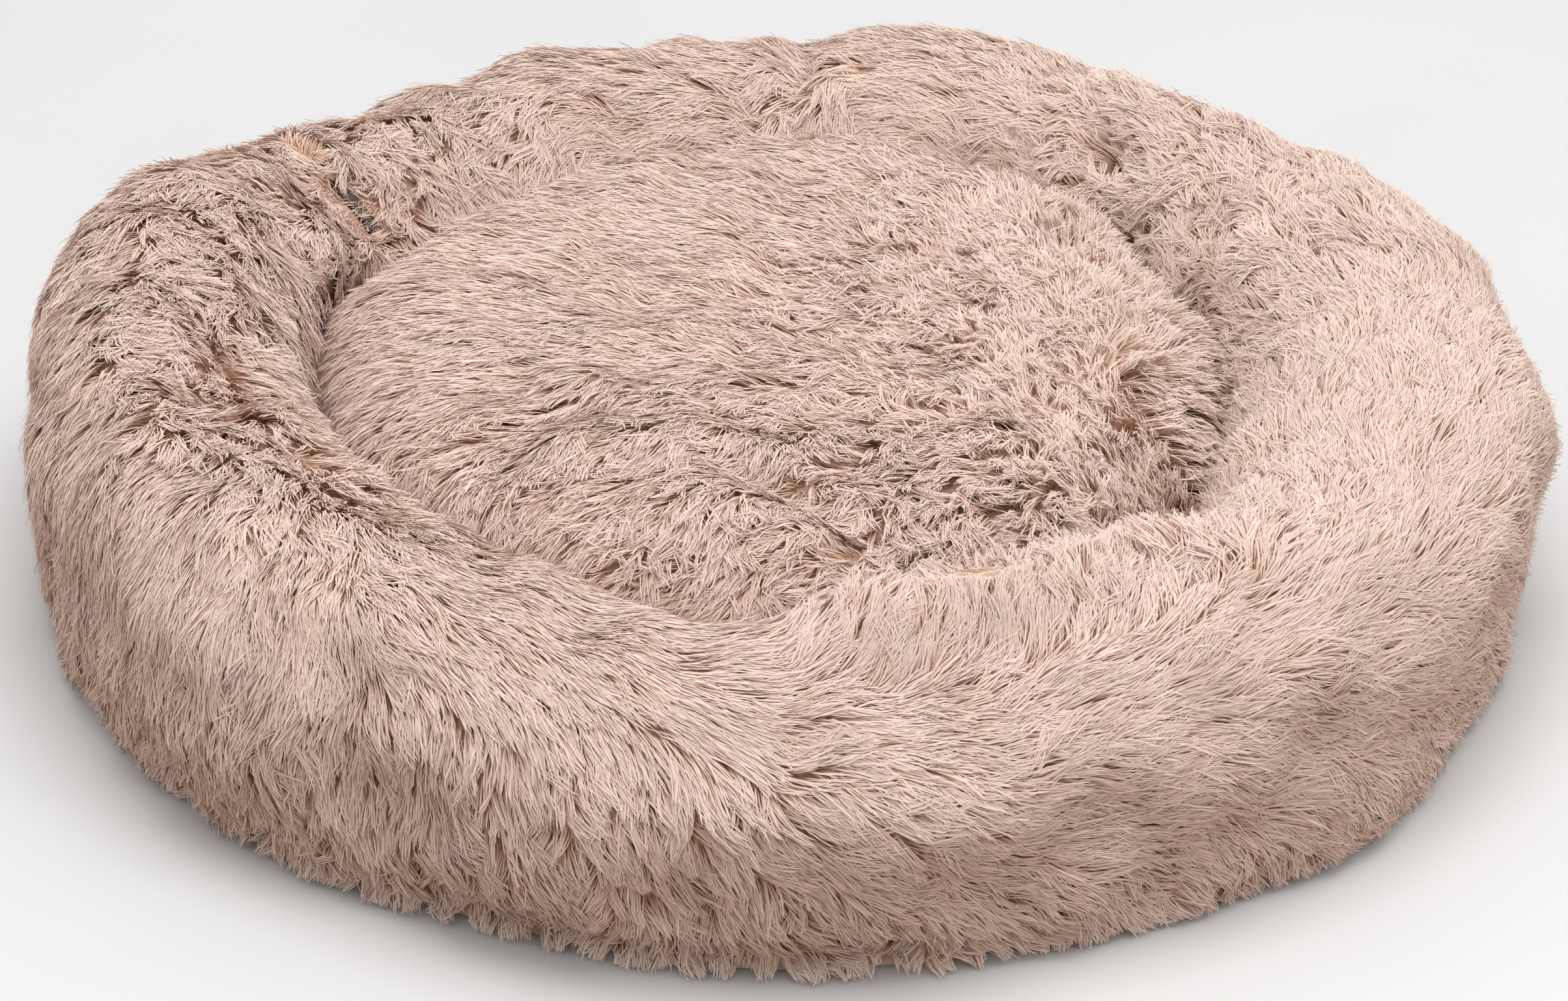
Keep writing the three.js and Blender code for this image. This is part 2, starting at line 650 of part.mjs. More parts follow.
buildBase();
buildBolsterCover();
buildInnerTube('bolster_back_tube', rightZipAzimuth, leftZipAzimuth);
buildInnerTube('bolster_front_tube', leftZipAzimuth, rightZipAzimuth + 360);
buildZip('right_zip', rightZipAzimuth);
buildZip('left_zip', leftZipAzimuth);
buildCushion();

export default bed;
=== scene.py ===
import json
import math

import bmesh
import bpy
import numpy as np
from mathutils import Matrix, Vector, kdtree


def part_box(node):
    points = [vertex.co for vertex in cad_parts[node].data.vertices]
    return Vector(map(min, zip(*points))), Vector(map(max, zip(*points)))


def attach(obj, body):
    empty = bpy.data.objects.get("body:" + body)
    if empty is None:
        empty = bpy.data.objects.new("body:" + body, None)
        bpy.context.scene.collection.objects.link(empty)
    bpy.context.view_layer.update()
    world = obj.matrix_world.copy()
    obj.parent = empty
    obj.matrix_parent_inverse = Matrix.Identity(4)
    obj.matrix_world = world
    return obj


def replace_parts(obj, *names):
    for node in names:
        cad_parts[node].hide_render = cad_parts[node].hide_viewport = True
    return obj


# A round pet bed of long-pile fur. Metres, +Z up, the viewer in front at -Y. Azimuths are in degrees,
# anticlockwise from +X. A share along the bolster's section runs from 0 at its outer foot over 0.5 at
# its crest to 1 at its inner foot.

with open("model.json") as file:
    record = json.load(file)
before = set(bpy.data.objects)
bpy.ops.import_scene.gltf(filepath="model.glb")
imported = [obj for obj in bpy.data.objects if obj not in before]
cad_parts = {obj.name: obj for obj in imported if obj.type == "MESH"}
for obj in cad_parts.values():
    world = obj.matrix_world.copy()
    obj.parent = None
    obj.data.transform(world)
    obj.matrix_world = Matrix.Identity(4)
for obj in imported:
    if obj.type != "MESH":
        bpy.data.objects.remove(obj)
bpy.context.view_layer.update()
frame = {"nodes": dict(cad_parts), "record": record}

# Azimuths of the zips and seams between the cover's panels
RIGHT_ZIP = 49
BACK_SEAM = 85
LEFT_ZIP = 143
LEFT_SEAM = 207
RIGHT_SEAM = 300
PANELS = {
    "right": (RIGHT_SEAM, RIGHT_ZIP + 360),
    "back_right": (RIGHT_ZIP, BACK_SEAM),
    "back_left": (BACK_SEAM, LEFT_ZIP),
    "left": (LEFT_ZIP, LEFT_SEAM),
    "front": (LEFT_SEAM, RIGHT_SEAM),
}
ZIP_AZIMUTHS = {"right": RIGHT_ZIP, "left": LEFT_ZIP}

# Bolster section
OUTER_SHOULDER = 0.064
FOOT_INSET = 0.016
TUCK_DEGREES = 35
PILE_DEPTH = 0.022
UNDERCOAT_DEPTH = 0.0070
HEM_HEIGHT = 0.0012
FLOOR_CLEARANCE = 0.0008
SEWING_GAP = 0.0003
NEST_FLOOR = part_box("nest_floor_panel")[1].z + SEWING_GAP
BELLY_END = 0.26
CREST = 0.5
TUCK_END = 0.92
SECTION_LENGTH = 0.38

# How far the hem spreads for the height by which the floor lifts it
HEM_SPREAD = 0.25

# The bolster's uneven stuffing: heights of its bumps, how far they may stand over the even form and the
# depth of pile that is always left under them. Near its sewn edges the stuffing is even: the bumps begin
# at the first share of each pair, and are whole this much further in.
BROAD_RISE = 0.0030
SMALL_RISE = 0.0022
HIGHEST_RISE = 0.016
LEAST_PILE = 0.001
EVEN_FOOT = (-0.02, 0.15)
EVEN_WALL = (0.95, 0.12)

# Zips. Each runs round a centre that is this far from the ring's axis and this high.
ZIP_CENTRE_RADIUS = 0.330
ZIP_CENTRE_HEIGHT = 0.0976
ZIP_ARC_RADIUS = 0.047
ZIP_TOP_SHARE = 0.485
ZIP_FOOT_SHARE = 0.89
ZIP_HALF_GAP = 0.005
COIL_PITCH = 0.0014

# The radii at which lengths round the ring are measured beside the zips, at the cloth and at the fur
ZIP_RING_RADIUS = 0.30
CLOTH_RING_RADIUS = 0.28
FUR_RING_RADIUS = 0.34

# Where the fur bares a zip: its azimuth, the shares between and the side on which the hollow runs out
BARED_ZIPS = [(RIGHT_ZIP, 0.60, 0.65, -1), (LEFT_ZIP, 0.555, 0.70, 1)]
BARED_EDGE = 0.012
BARED_HALF_WIDTH = 0.0042
ZIP_HOLLOW = 0.015
HOLLOW_SHORT_SIDE = 0.014
HOLLOW_LONG_SIDE = 0.032

# Cushion
CUSHION_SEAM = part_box("cushion_fur_top")[0].z
CUSHION_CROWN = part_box("cushion_fur_top")[1].z
CUSHION_ROUNDNESS = 6
CUSHION_POWER = 0.32

# Pile. Each pair is for a wide strand, which is a wisp of many hairs, and for a fine one: how wide it is,
# how it rolls, its reach over its column of the map and how round it looks.
STRAND_WIDTHS = (0.00085, 0.00050)
STRAND_ROLLS = (0.22, 0.4)
STRAND_REACHES = (0.47, 0.06)
STRAND_BULGES = (0.22, 0.08)
WIDE_SHARE = 0.35
STRAND_STATIONS = np.array([0, 0.27, 0.57, 0.90, 1])
STRAND_TAPER = np.array([0.85, 1, 1, 0.8])
MIDDLE_RISE = 0.6
LEAST_ROOM = 0.004
LEAST_FALL = 0.1
MOST_STRANDS_TO_A_PIECE = 28000
LOCKS_TO_A_CLUMP = 5
PALETTE_COLUMNS = 32
STREAKS_TO_A_COLUMN = 6


def srgb(red, green, blue):
    """A colour given as it shows on a screen, from 0 to 255, as linear numbers."""
    shown = np.array([red, green, blue]) / 255
    linear = np.where(shown <= 0.04045, shown / 12.92, ((shown + 0.055) / 1.055) ** 2.4)
    return (*linear.tolist(), 1)


# Forms that follow the frame

# The solids have a section at each of these steps of azimuth
RING_STEP = 7.5
CUSHION_STEP = 9
SAME_AZIMUTH = 0.03
FEWEST_POINTS = 8


def node_points(*names):
    """The vertices of CAD nodes, as one array."""
    found = []
    for name in names:
        mesh = frame["nodes"][name].data
        points = np.empty(len(mesh.vertices) * 3)
        mesh.vertices.foreach_get("co", points)
        found.append(points.reshape(-1, 3))
    return np.concatenate(found)


def sections_of(points, step):
    """(azimuth, radii, heights) at each step of azimuth where the points have a section."""
    azimuths = np.degrees(np.arctan2(points[:, 1], points[:, 0])) % 360
    radii = np.hypot(points[:, 0], points[:, 1])
    for azimuth in np.arange(0, 360, step):
        away = (azimuths - azimuth + 180) % 360 - 180
        here = np.abs(away) < SAME_AZIMUTH
        if here.sum() >= FEWEST_POINTS:
            yield azimuth, radii[here], points[here, 2]


def smooth_round(azimuths, values, harmonics=18):
    """A smooth periodic curve through values at azimuths, as a table of one value a half degree."""
    even = np.interp(np.arange(0, 360, 0.5), azimuths, values, period=360)
    spectrum = np.fft.rfft(even)
    spectrum[harmonics:] = 0
    return np.fft.irfft(spectrum, len(even))


def look_up(table, azimuth):
    return np.interp(azimuth, np.arange(0, 360, 0.5), table, period=360)


def measure_ring():
    rows = []
    points = node_points(*("bolster_cover_" + name for name in PANELS))
    for azimuth, radii, heights in sections_of(points, RING_STEP):
        crest = radii.max() - OUTER_SHOULDER
        shoulder = (crest - radii.min()) / math.cos(math.radians(TUCK_DEGREES))
        rows.append((azimuth, radii.max(), heights.max(), shoulder))
    azimuths, *columns = np.array(rows).T
    return [smooth_round(azimuths, column) for column in columns]


def measure_cushion():
    sections = sections_of(node_points("cushion_fur_top"), CUSHION_STEP)
    azimuths, edges = np.array([(azimuth, radii.max()) for azimuth, radii, _ in sections]).T
    return smooth_round(azimuths, edges, harmonics=16)


RING_RADIUS, RING_HEIGHT, RING_SHOULDER = measure_ring()
CUSHION_EDGE = measure_cushion()


def on_ring(azimuth, radius, height):
    angle = np.radians(azimuth)
    return np.stack(np.broadcast_arrays(radius * np.cos(angle), radius * np.sin(angle), height), -1)


def section(azimuth, share, depth):
    """Radius and height of the bolster's section, at a depth under the tips of its pile."""
    radius, height, shoulder = (look_up(t, azimuth) for t in (RING_RADIUS, RING_HEIGHT, RING_SHOULDER))
    crest = radius - OUTER_SHOULDER
    outer_centre = height - OUTER_SHOULDER
    belly = np.radians(-90 + 90 * np.clip(share / BELLY_END, 0, 1))
    outer = np.radians(90 * np.clip((share - BELLY_END) / (CREST - BELLY_END), 0, 1))
    turn = 90 + TUCK_DEGREES
    inner = np.radians(90 + turn * np.clip((share - CREST) / (TUCK_END - CREST), 0, 1))
    wall = np.clip((share - TUCK_END) / (1 - TUCK_END), 0, 1)
    belly_r = radius - FOOT_INSET - depth + FOOT_INSET * np.cos(belly)
    belly_z = outer_centre + (outer_centre - HEM_HEIGHT) * np.sin(belly)
    outer_r = crest + (OUTER_SHOULDER - depth) * np.cos(outer)
    outer_z = outer_centre + (OUTER_SHOULDER - depth) * np.sin(outer)
    inner_r = crest + (shoulder - depth) * np.cos(inner)
    inner_z = height - shoulder + (shoulder - depth) * np.sin(inner)
    wall_z = inner_z + (NEST_FLOOR - inner_z) * wall
    r = np.where(share < BELLY_END, belly_r, np.where(share < CREST, outer_r, inner_r))
    z = np.where(share < BELLY_END, belly_z, np.where(share < CREST, outer_z, wall_z))
    z = z - np.maximum(-share, 0) * SECTION_LENGTH
    lifted = np.maximum(FLOOR_CLEARANCE - z, 0)
    return r + HEM_SPREAD * lifted, z + lifted


def waves(seed, size, count=20):
    """A smooth random field over space, about 1 strong, whose bumps are about size apart."""
    random = np.random.default_rng(seed)
    ways = random.normal(size=(count, 3))
    ways /= np.linalg.norm(ways, axis=1)[:, None]
    ways *= 2 * np.pi / size * random.uniform(0.6, 1.5, (count, 1))
    phases = random.uniform(0, 2 * np.pi, count)
    return lambda points: np.sin(points @ ways.T + phases).sum(-1) * math.sqrt(2 / count)


def away_from(azimuth, centre):
    return (azimuth - centre + 180) % 360 - 180


def beside_zips(azimuth, share):
    """Metres from the nearest zip, measured round the ring, and how open the fur over it is."""
    nearest = np.full(np.shape(azimuth), 1.0)
    bared = np.zeros(np.shape(azimuth))
    for centre, low, high, side in BARED_ZIPS:
        away = side * np.radians(away_from(azimuth, centre)) * ZIP_RING_RADIUS
        closer = np.abs(away) < np.abs(nearest)
        window = 1 / (1 + np.exp((low - share) / BARED_EDGE)) / (1 + np.exp((share - high) / BARED_EDGE))
        bared = np.where(closer, window, bared)
        nearest = np.where(closer, away, nearest)
    return nearest, bared


def mound(x, y, wide, deep, turn, rise):
    """A rounded mound, or a hollow if its rise is below 0, whose long side is turned by so many degrees."""
    angle = math.radians(turn)
    along = x * math.cos(angle) + y * math.sin(angle)
    across = y * math.cos(angle) - x * math.sin(angle)
    return rise * np.exp(-((along / wide) ** 2) - (across / deep) ** 2)


BROAD_LUMPS = waves(5, 0.17)
SMALL_LUMPS = waves(6, 0.07)


def hollow(azimuth, share):
    """How far the bolster's surface lies under its even form."""
    even = on_ring(azimuth, *section(azimuth, share, 0))
    total = -BROAD_RISE * BROAD_LUMPS(even) - SMALL_RISE * SMALL_LUMPS(even)
    (foot, foot_width), (wall, wall_width) = EVEN_FOOT, EVEN_WALL
    total = total * np.clip((share - foot) / foot_width, 0, 1) * np.clip((wall - share) / wall_width, 0, 1)
    for centre, middle, *form in BOLSTER_FORMS:
        level = np.radians(away_from(azimuth, centre)) * ZIP_RING_RADIUS
        total = total - mound(level, (share - middle) * SECTION_LENGTH, *form)
    away, bared = beside_zips(azimuth, share)
    reach = np.where(away > 0, HOLLOW_LONG_SIDE, HOLLOW_SHORT_SIDE)
    return total + ZIP_HOLLOW * bared * np.exp(-((away / reach) ** 2))


def bolster_section(azimuth, share, depth):
    under = np.clip(depth + hollow(azimuth, share), -HIGHEST_RISE, PILE_DEPTH - LEAST_PILE)
    return section(azimuth, share, under)


class BolsterPile:
    """The space over the bolster's short dense undercoat, which its long pile fills. Its places are an
    azimuth and a share along the section, and its rise is 0 at the undercoat and 1 at the tips."""

    steps = (0.3, 0.003)
    locks_per_square_metre = 46000
    strands_per_lock = 9
    lock_radius = 0.0042
    length = 0.032
    shares = (-0.02, 0.985)

    def point(self, places, rise):
        azimuth, share = places[..., 0], places[..., 1]
        low_r, low_z = bolster_section(azimuth, share, UNDERCOAT_DEPTH)
        high_r, high_z = bolster_section(azimuth, share, 0)
        radius = low_r + (high_r - low_r) * rise
        height = np.maximum(low_z + (high_z - low_z) * rise, FLOOR_CLEARANCE)
        return on_ring(azimuth, radius, height)

    def bearing(self, places):
        return places[:, 0]

    def hold(self, places):
        return np.stack([places[..., 0], np.clip(places[..., 1], *self.shares)], -1)

    def room(self, roots, way):
        """How far a strand may run before it meets the floor."""
        return np.maximum(roots[:, 2], LEAST_ROOM) / np.maximum(-way[:, 2], LEAST_FALL)


class CushionPile:
    """The space that the cushion's pile fills. Its places run from 0 in the middle to 1 at the seam, and
    point the way that they lie in the plan. Beyond the seam it hangs."""

    steps = (0.004, 0.004)
    locks_per_square_metre = 56000
    strands_per_lock = 7
    lock_radius = 0.0034
    length = 0.026
    furthest = 1.1
    hang = 0.25
    overhang = 0.03
    lumps = (0.0025, 0.0020)

    def point(self, places, rise):
        x, y = places[..., 0], places[..., 1]
        reach = np.hypot(x, y)
        azimuth = np.degrees(np.arctan2(y, x))
        inset = UNDERCOAT_DEPTH * (1 - rise)
        share = np.sin(np.pi / 2 * np.minimum(reach, 1))
        outer_edge = look_up(CUSHION_EDGE, azimuth)
        radius = (outer_edge - inset) * share
        swell = np.maximum(1 - share ** CUSHION_ROUNDNESS, 0) ** CUSHION_POWER
        form = self.form(azimuth, outer_edge * share)
        height = CUSHION_SEAM + (CUSHION_CROWN - CUSHION_SEAM - inset + form) * swell
        height = height - np.maximum(reach - 1, 0) * self.hang
        return on_ring(azimuth, radius, height)

    def bearing(self, places):
        return np.arctan2(places[:, 1], places[:, 0])

    def hold(self, places):
        reach = np.linalg.norm(places, axis=-1, keepdims=True)
        return places * np.minimum(1, self.furthest / np.maximum(reach, 0.001))

    def room(self, roots, way):
        """How far a strand may run before it hangs too far under the seam."""
        return (roots[:, 2] - CUSHION_SEAM + self.overhang) / np.maximum(-way[:, 2], LEAST_FALL)

    def form(self, azimuth, radius):
        """Bumps and hollows of the stuffing, as heights over the even crown."""
        x = radius * np.cos(np.radians(azimuth))
        y = radius * np.sin(np.radians(azimuth))
        total = np.zeros(np.broadcast(x, y).shape)
        for centre_x, centre_y, *form in CUSHION_FORMS:
            total += mound(x - centre_x, y - centre_y, *form)
        level = on_ring(azimuth, radius, 0.0)
        broad, small = self.lumps
        return total + broad * BROAD_LUMPS(level) + small * SMALL_LUMPS(level)


# Bumps and hollows of the bolster: azimuth, share, half sizes, turn of the long side, rise
BOLSTER_FORMS = [
    (291, 0.565, 0.085, 0.020, 3, 0.022),
    (286, 0.475, 0.080, 0.012, 4, -0.007),
    (88, 0.50, 0.014, 0.070, 0, -0.012),
    (92, 0.62, 0.030, 0.030, 0, -0.006),
    (200, 0.56, 0.060, 0.022, -20, -0.007),
    (210, 0.62, 0.050, 0.016, 0, 0.005),
    (186, 0.50, 0.050, 0.030, 0, 0.006),
    (150, 0.80, 0.060, 0.040, 0, -0.010),
    (128, 0.66, 0.060, 0.014, 20, -0.006),
    (112, 0.60, 0.060, 0.020, 0, 0.005),
    (28, 0.66, 0.020, 0.060, 25, -0.009),
    (38, 0.62, 0.018, 0.050, 15, 0.006),
    (250, 0.39, 0.160, 0.036, 0, -0.009),
    (302, 0.39, 0.150, 0.036, 0, -0.005),
    (262, 0.25, 0.120, 0.022, 0, 0.008),
    (264, 0.08, 0.140, 0.018, 0, -0.011),
    (20, 0.84, 0.120, 0.034, 0, 0.010),
]

# Each row is a place, half sizes, the turn of its long side and the rise of a bump or fold in the cushion
CUSHION_FORMS = [
    (0.004, -0.176, 0.075, 0.010, -42, -0.013),
    (-0.012, -0.200, 0.070, 0.020, -42, 0.005),
    (0.150, 0.040, 0.130, 0.020, -76, 0.009),
    (0.120, 0.030, 0.110, 0.018, -76, -0.004),
    (0.208, 0.020, 0.120, 0.026, -76, -0.010),
    (-0.080, -0.125, 0.080, 0.020, -8, 0.005),
    (0.000, 0.180, 0.220, 0.090, 0, 0.020),
    (-0.170, 0.020, 0.070, 0.110, 0, 0.006),
    (-0.130, -0.130, 0.060, 0.025, 40, -0.006),
    (0.060, -0.060, 0.070, 0.030, 10, 0.004),
]


# Grooming

# How the bolster's fur lies at an azimuth: for the hem, flank, shoulder, crest and inside, its lean in
# degrees from level and anticlockwise towards the inside, how tousled it is, how far it stands up and,
# for some, how strongly its locks clump
GROOM_SHARES = (0.06, 0.27, 0.41, 0.52, 0.68)
BACK_FLANK = (-80, 0.2, 0), (-30, 0.1, 0.1)
RIGHT_FLANK = (-80, 0.3, 0.2), (-30, 0.15, 0.1), (-12, 0.12, 0.2)
BOLSTER_GROOM = [
    (5, (-80, 0.2, 0.1), (-35, 0.1, 0.1), (-12, 0.12, 0.2), (0, 0.2, 0.25), (10, 0.4, 0.3)),
    (22, *RIGHT_FLANK, (-4, 0.35, 0.3), (10, 0.55, 0.4)),
    (36, *RIGHT_FLANK, (-8, 0.35, 0.3), (-5, 0.6, 0.45)),
    (50, *RIGHT_FLANK, (-10, 0.35, 0.3), (-10, 0.5, 0.5)),
    (62, *BACK_FLANK, (-15, 0.12, 0.2), (-10, 0.2, 0.2), (-8, 0.3, 0)),
    (76, *BACK_FLANK, (-15, 0.12, 0.2), (-12, 0.12, 0.1), (-10, 0.15, 0)),
    (88, *BACK_FLANK, (-15, 0.12, 0.2), (-5, 0.3, 0.1), (60, 0.5, 0.2)),
    (98, *BACK_FLANK, (-15, 0.12, 0.15), (-8, 0.1, 0.1), (-2, 0.15, 0)),
    (110, *BACK_FLANK, (-15, 0.12, 0.15), (-5, 0.12, 0.1), (0, 0.2, 0)),
    (120, *BACK_FLANK, (-15, 0.12, 0.15), (0, 0.3, 0.1), (35, 0.4, 0.1)),
    (132, (-80, 0.2, 0), (-35, 0.1, 0.1), (-20, 0.2, 0.1), (60, 0.5, 0.2), (80, 0.5, 0.1)),
    (150, (-80, 0.2, 0), (-40, 0.1, 0.1), (-25, 0.2, 0.25), (0, 0.35, 0.25), (30, 0.4, 0.2, 0.05)),
    (165, (-80, 0.2, 0), (-50, 0.1, 0.1), (-30, 0.2, 0.25), (-10, 0.3, 0.25), (15, 0.45, 0.25, 0.05)),
    (178, (-80, 0.2, 0), (-60, 0.1, 0.1), (-35, 0.2, 0.25), (-12, 0.3, 0.25), (20, 0.4, 0.25, 0.05)),
    (190, (-90, 0.3, 0.4), (-78, 0.2, 0.2), (-60, 0.2, 0.15), (-20, 0.4, 0.35, 0.1), (40, 0.5, 0.35)),
    (202, (-102, 0.3, 0.3, 0.5), (-92, 0.2, 0.2), (-72, 0.2, 0.1), (-30, 0.5, 0.45), (60, 0.5, 0.4)),
    (216, (-100, 0.3, 0.4, 0.6), (-92, 0.2, 0.2), (-76, 0.1, 0), (-35, 0.3, 0.2), (60, 0.5, 0.2)),
    (230, (-92, 0.3, 0.5, 0.7), (-84, 0.25, 0.25, 0.4), (-58, 0.1, 0), (-25, 0.1, 0), (15, 0.3, 0.1)),
    (245, (-90, 0.3, 0.5, 0.75), (-76, 0.25, 0.3, 0.6), (-34, 0.06, 0), (-12, 0.03, 0), (0, 0.1, 0)),
    (262, (-86, 0.3, 0.5, 0.75), (-66, 0.25, 0.35, 0.7), (-18, 0.04, 0), (-6, 0.02, 0), (2, 0.08, 0)),
    (
        278,
        (-72, 0.3, 0.5, 0.7), (-28, 0.2, 0.1, 0.3), (-8, 0.04, 0), (60, 0.4, 0.6, 0.4), (85, 0.5, 0.9, 0.4),
    ),
    (292, (-60, 0.3, 0.4, 0.6), (-16, 0.15, 0.1), (-2, 0.04, 0), (80, 0.5, 0.9, 0.4), (85, 0.5, 1.0, 0.4)),
    (306, (-68, 0.3, 0.4, 0.6), (-30, 0.2, 0.1), (0, 0.05, 0.05), (60, 0.45, 0.6, 0.3), (70, 0.5, 0.8, 0.3)),
    (320, (-65, 0.3, 0.4), (-25, 0.15, 0.1), (0, 0.1, 0.1), (10, 0.2, 0.2), (30, 0.4, 0.3)),
    (338, (-70, 0.3, 0.3), (-25, 0.15, 0.1), (-5, 0.12, 0.15), (5, 0.15, 0.2), (15, 0.3, 0.2)),
]

# How the cushion's fur lies at a place, in shares of its radius: its way over the plan in degrees, how
# tousled it is and how far it stands up
CUSHION_GROOM = [
    ((0.0, 0.0), 180, 0.3, 0),
    ((-0.35, 0.1), 180, 0.15, 0),
    ((-0.7, 0.15), 184, 0.1, 0),
    ((-0.9, -0.1), 190, 0.1, 0),
    ((-0.65, 0.6), 168, 0.1, 0),
    ((-0.1, 0.45), 178, 0.12, 0),
    ((0.0, 0.85), 170, 0.12, 0),
    ((0.4, 0.75), 160, 0.3, 0),
    ((-0.75, -0.4), 225, 0.25, 0),
    ((-0.5, -0.6), 235, 0.3, 0.1),
    ((-0.2, -0.55), 225, 0.25, 0),
    ((-0.15, -0.85), 240, 0.4, 0.1),
    ((0.2, -0.6), 215, 0.5, 0.2),
    ((0.3, -0.85), 240, 0.45, 0.2),
    ((0.2, -0.25), 185, 0.35, 0),
    ((0.35, 0.15), 160, 0.5, 0.15, 0.3),
    ((0.6, 0.4), 125, 0.5, 0.2, 0.3),
    ((0.6, 0.0), 120, 0.55, 0.25, 0.3),
    ((0.6, -0.4), 150, 0.5, 0.3, 0.2),
    ((0.84, 0.1), -10, 0.35, 0.7),
    ((0.85, -0.25), -35, 0.35, 0.5),
    ((0.75, 0.55), 20, 0.4, 0.7),
]


# How much tousled fur clumps of itself, and how far fur stands up where its ways part
TOUSLE_CLUMP = 0.4
PARTING_LIFT = 0.6


def blended(places, spots, values, softness):
    """Values at places, weighted by how near each spot is."""
    away = ((places[:, None, :] - spots[None]) ** 2).sum(-1)
    weights = 1 / (away + softness ** 2) ** 2
    return weights @ values / weights.sum(1, keepdims=True)


def turned(degrees, tousle, lift, clump=None):
    """The values that a cell of a groom table stands for."""
    angle = math.radians(degrees)
    return math.cos(angle), math.sin(angle), tousle, lift, TOUSLE_CLUMP * tousle if clump is None else clump


class BolsterGroom:
    """Which way the bolster's fur lies, from its table."""

    softness = 0.018

    def __init__(self):
        self.values = np.array([turned(*cell) for _, *cells in BOLSTER_GROOM for cell in cells])
        spots = [(azimuth, share) for azimuth, *_ in BOLSTER_GROOM for share in GROOM_SHARES]
        self.spots = self.spread(np.array(spots))

    def spread(self, places):
        """Places as points in metres, to tell how near they are to each other."""
        angle = np.radians(places[:, 0])
        across = places[:, 1] * SECTION_LENGTH
        return np.stack([np.cos(angle) * FUR_RING_RADIUS, np.sin(angle) * FUR_RING_RADIUS, across], 1)

    def at(self, places, slope):
        along, across, _ = slope
        found = blended(self.spread(places), self.spots, self.values, self.softness)
        way = unit(along) * found[:, :1] + unit(across) * found[:, 1:2]
        return unit(way), standing(found)


class CushionGroom:
    """Which way the cushion's fur lies, from its table."""

    softness = 0.12

    def __init__(self):
        self.values = np.array([turned(*cells) for _, *cells in CUSHION_GROOM])
        self.spots = np.array([spot for spot, *_ in CUSHION_GROOM])

    def at(self, places, slope):
        _, _, outward = slope
        reach = np.linalg.norm(places, axis=1, keepdims=True)
        plan = places / np.maximum(reach, 1e-6) * np.sin(np.pi / 2 * np.minimum(reach, 1))
        found = blended(plan, self.spots, self.values, self.softness)
        level = np.concatenate([found[:, :2], np.zeros((len(found), 1))], 1)
        way = level - outward * (level * outward).sum(1, keepdims=True)
        return unit(way), standing(found)


def standing(found):
    """How tousled the fur is, how far it stands up and how it clumps."""
    tousle, lift, clump = found[:, 2:].T
    parting = 1 - np.linalg.norm(found[:, :2], axis=1)
    return tousle, lift + PARTING_LIFT * parting * (1 - lift), clump


def unit(vectors):
    return vectors / np.maximum(np.linalg.norm(vectors, axis=-1, keepdims=True), 1e-9)


def slopes(pile, places, rise=MIDDLE_RISE):
    """How far a point moves in space for a unit of each of its two places, and the way out."""
    here = pile.point(places, rise)
    first, second = pile.steps
    along = (pile.point(places + np.array([first, 0]), rise) - here) / first
    across = (pile.point(places + np.array([0, second]), rise) - here) / second
    return along, across, unit(np.cross(along, across))


# Two directions run almost alike where they span less than this share of their product
LEAST_SPREAD = 0.02


def moved(along, across, way):
    """The change of the two places that moves a point along way, held back where they run almost alike."""
    aa, ab, bb = (along * along).sum(1), (along * across).sum(1), (across * across).sum(1)
    wa, wb = (way * along).sum(1), (way * across).sum(1)
    spread = np.maximum(aa * bb - ab * ab, LEAST_SPREAD * aa * bb)
    return np.stack([(wa * bb - wb * ab) / spread, (wb * aa - wa * ab) / spread], 1)


def scatter(pile, low, high, cells, random, keep=None):
    """Places for the pile's locks, spread evenly over its middle height."""
    firsts, seconds = (np.linspace(a, b, n + 1) for a, b, n in zip(low, high, cells))
    corners = np.stack(np.meshgrid(firsts, seconds, indexing="ij"), -1)
    points = pile.point(corners, MIDDLE_RISE)
    sides = np.linalg.norm(points[1:, :-1] - points[:-1, :-1], axis=-1)
    tops = np.linalg.norm(points[:-1, 1:] - points[:-1, :-1], axis=-1)
    areas = sides * tops
    if keep is not None:
        areas = areas * keep(corners[:-1, :-1])
    counts = np.floor(areas * pile.locks_per_square_metre + random.random(areas.shape)).astype(int)
    which = np.repeat(np.arange(counts.size), counts.ravel())
    steps = np.array([firsts[1] - firsts[0], seconds[1] - seconds[0]])
    return corners[:-1, :-1].reshape(-1, 2)[which] + random.random((len(which), 2)) * steps


def nearest_leaders(roots, random):
    """For each lock the one that leads its clump."""
    leaders = np.flatnonzero(random.random(len(roots)) < 1 / LOCKS_TO_A_CLUMP)
    tree = kdtree.KDTree(len(leaders))
    for leader in leaders:
        tree.insert(roots[leader], leader)
    tree.balance()
    return np.array([tree.find(root)[1] for root in roots])


# Each pair is a measure in smooth fur, and what tousling adds to it
TURN_NOISE = (2, 22)
CURL_NOISE = (8, 45)
SUNK_LOCKS = (0.06, 0.3)
STRAY_CHANCE = (0.05, 0.2)
RISE_NOISE = (0.03, 0.07)
SWAY = (0.0003, 0.003)
SWAY_TURN = 7

# Each pair is the least and the most of a measure that is left to chance: a lock's length, how far it draws
# to its clump, a strand's share of its lock's length, a stray strand's rise and a strand's width
LOCK_LENGTHS = (0.78, 1.12)
CLUMP_PULLS = (0.7, 1.1)
STRAND_LENGTHS = (0.88, 1.04)
STRAY_RISES = (0.2, 0.6)
WIDTH_SHARES = (0.75, 1.25)

# Some strands are loose: how many in smooth fur and at least, how far they gather and how long they are
MOST_LOOSE = 0.35
LEAST_LOOSE = 0.04
LOOSE_PULL = 0.1
LOOSE_LENGTH = 0.7
LESS_LOOSE = 0.4

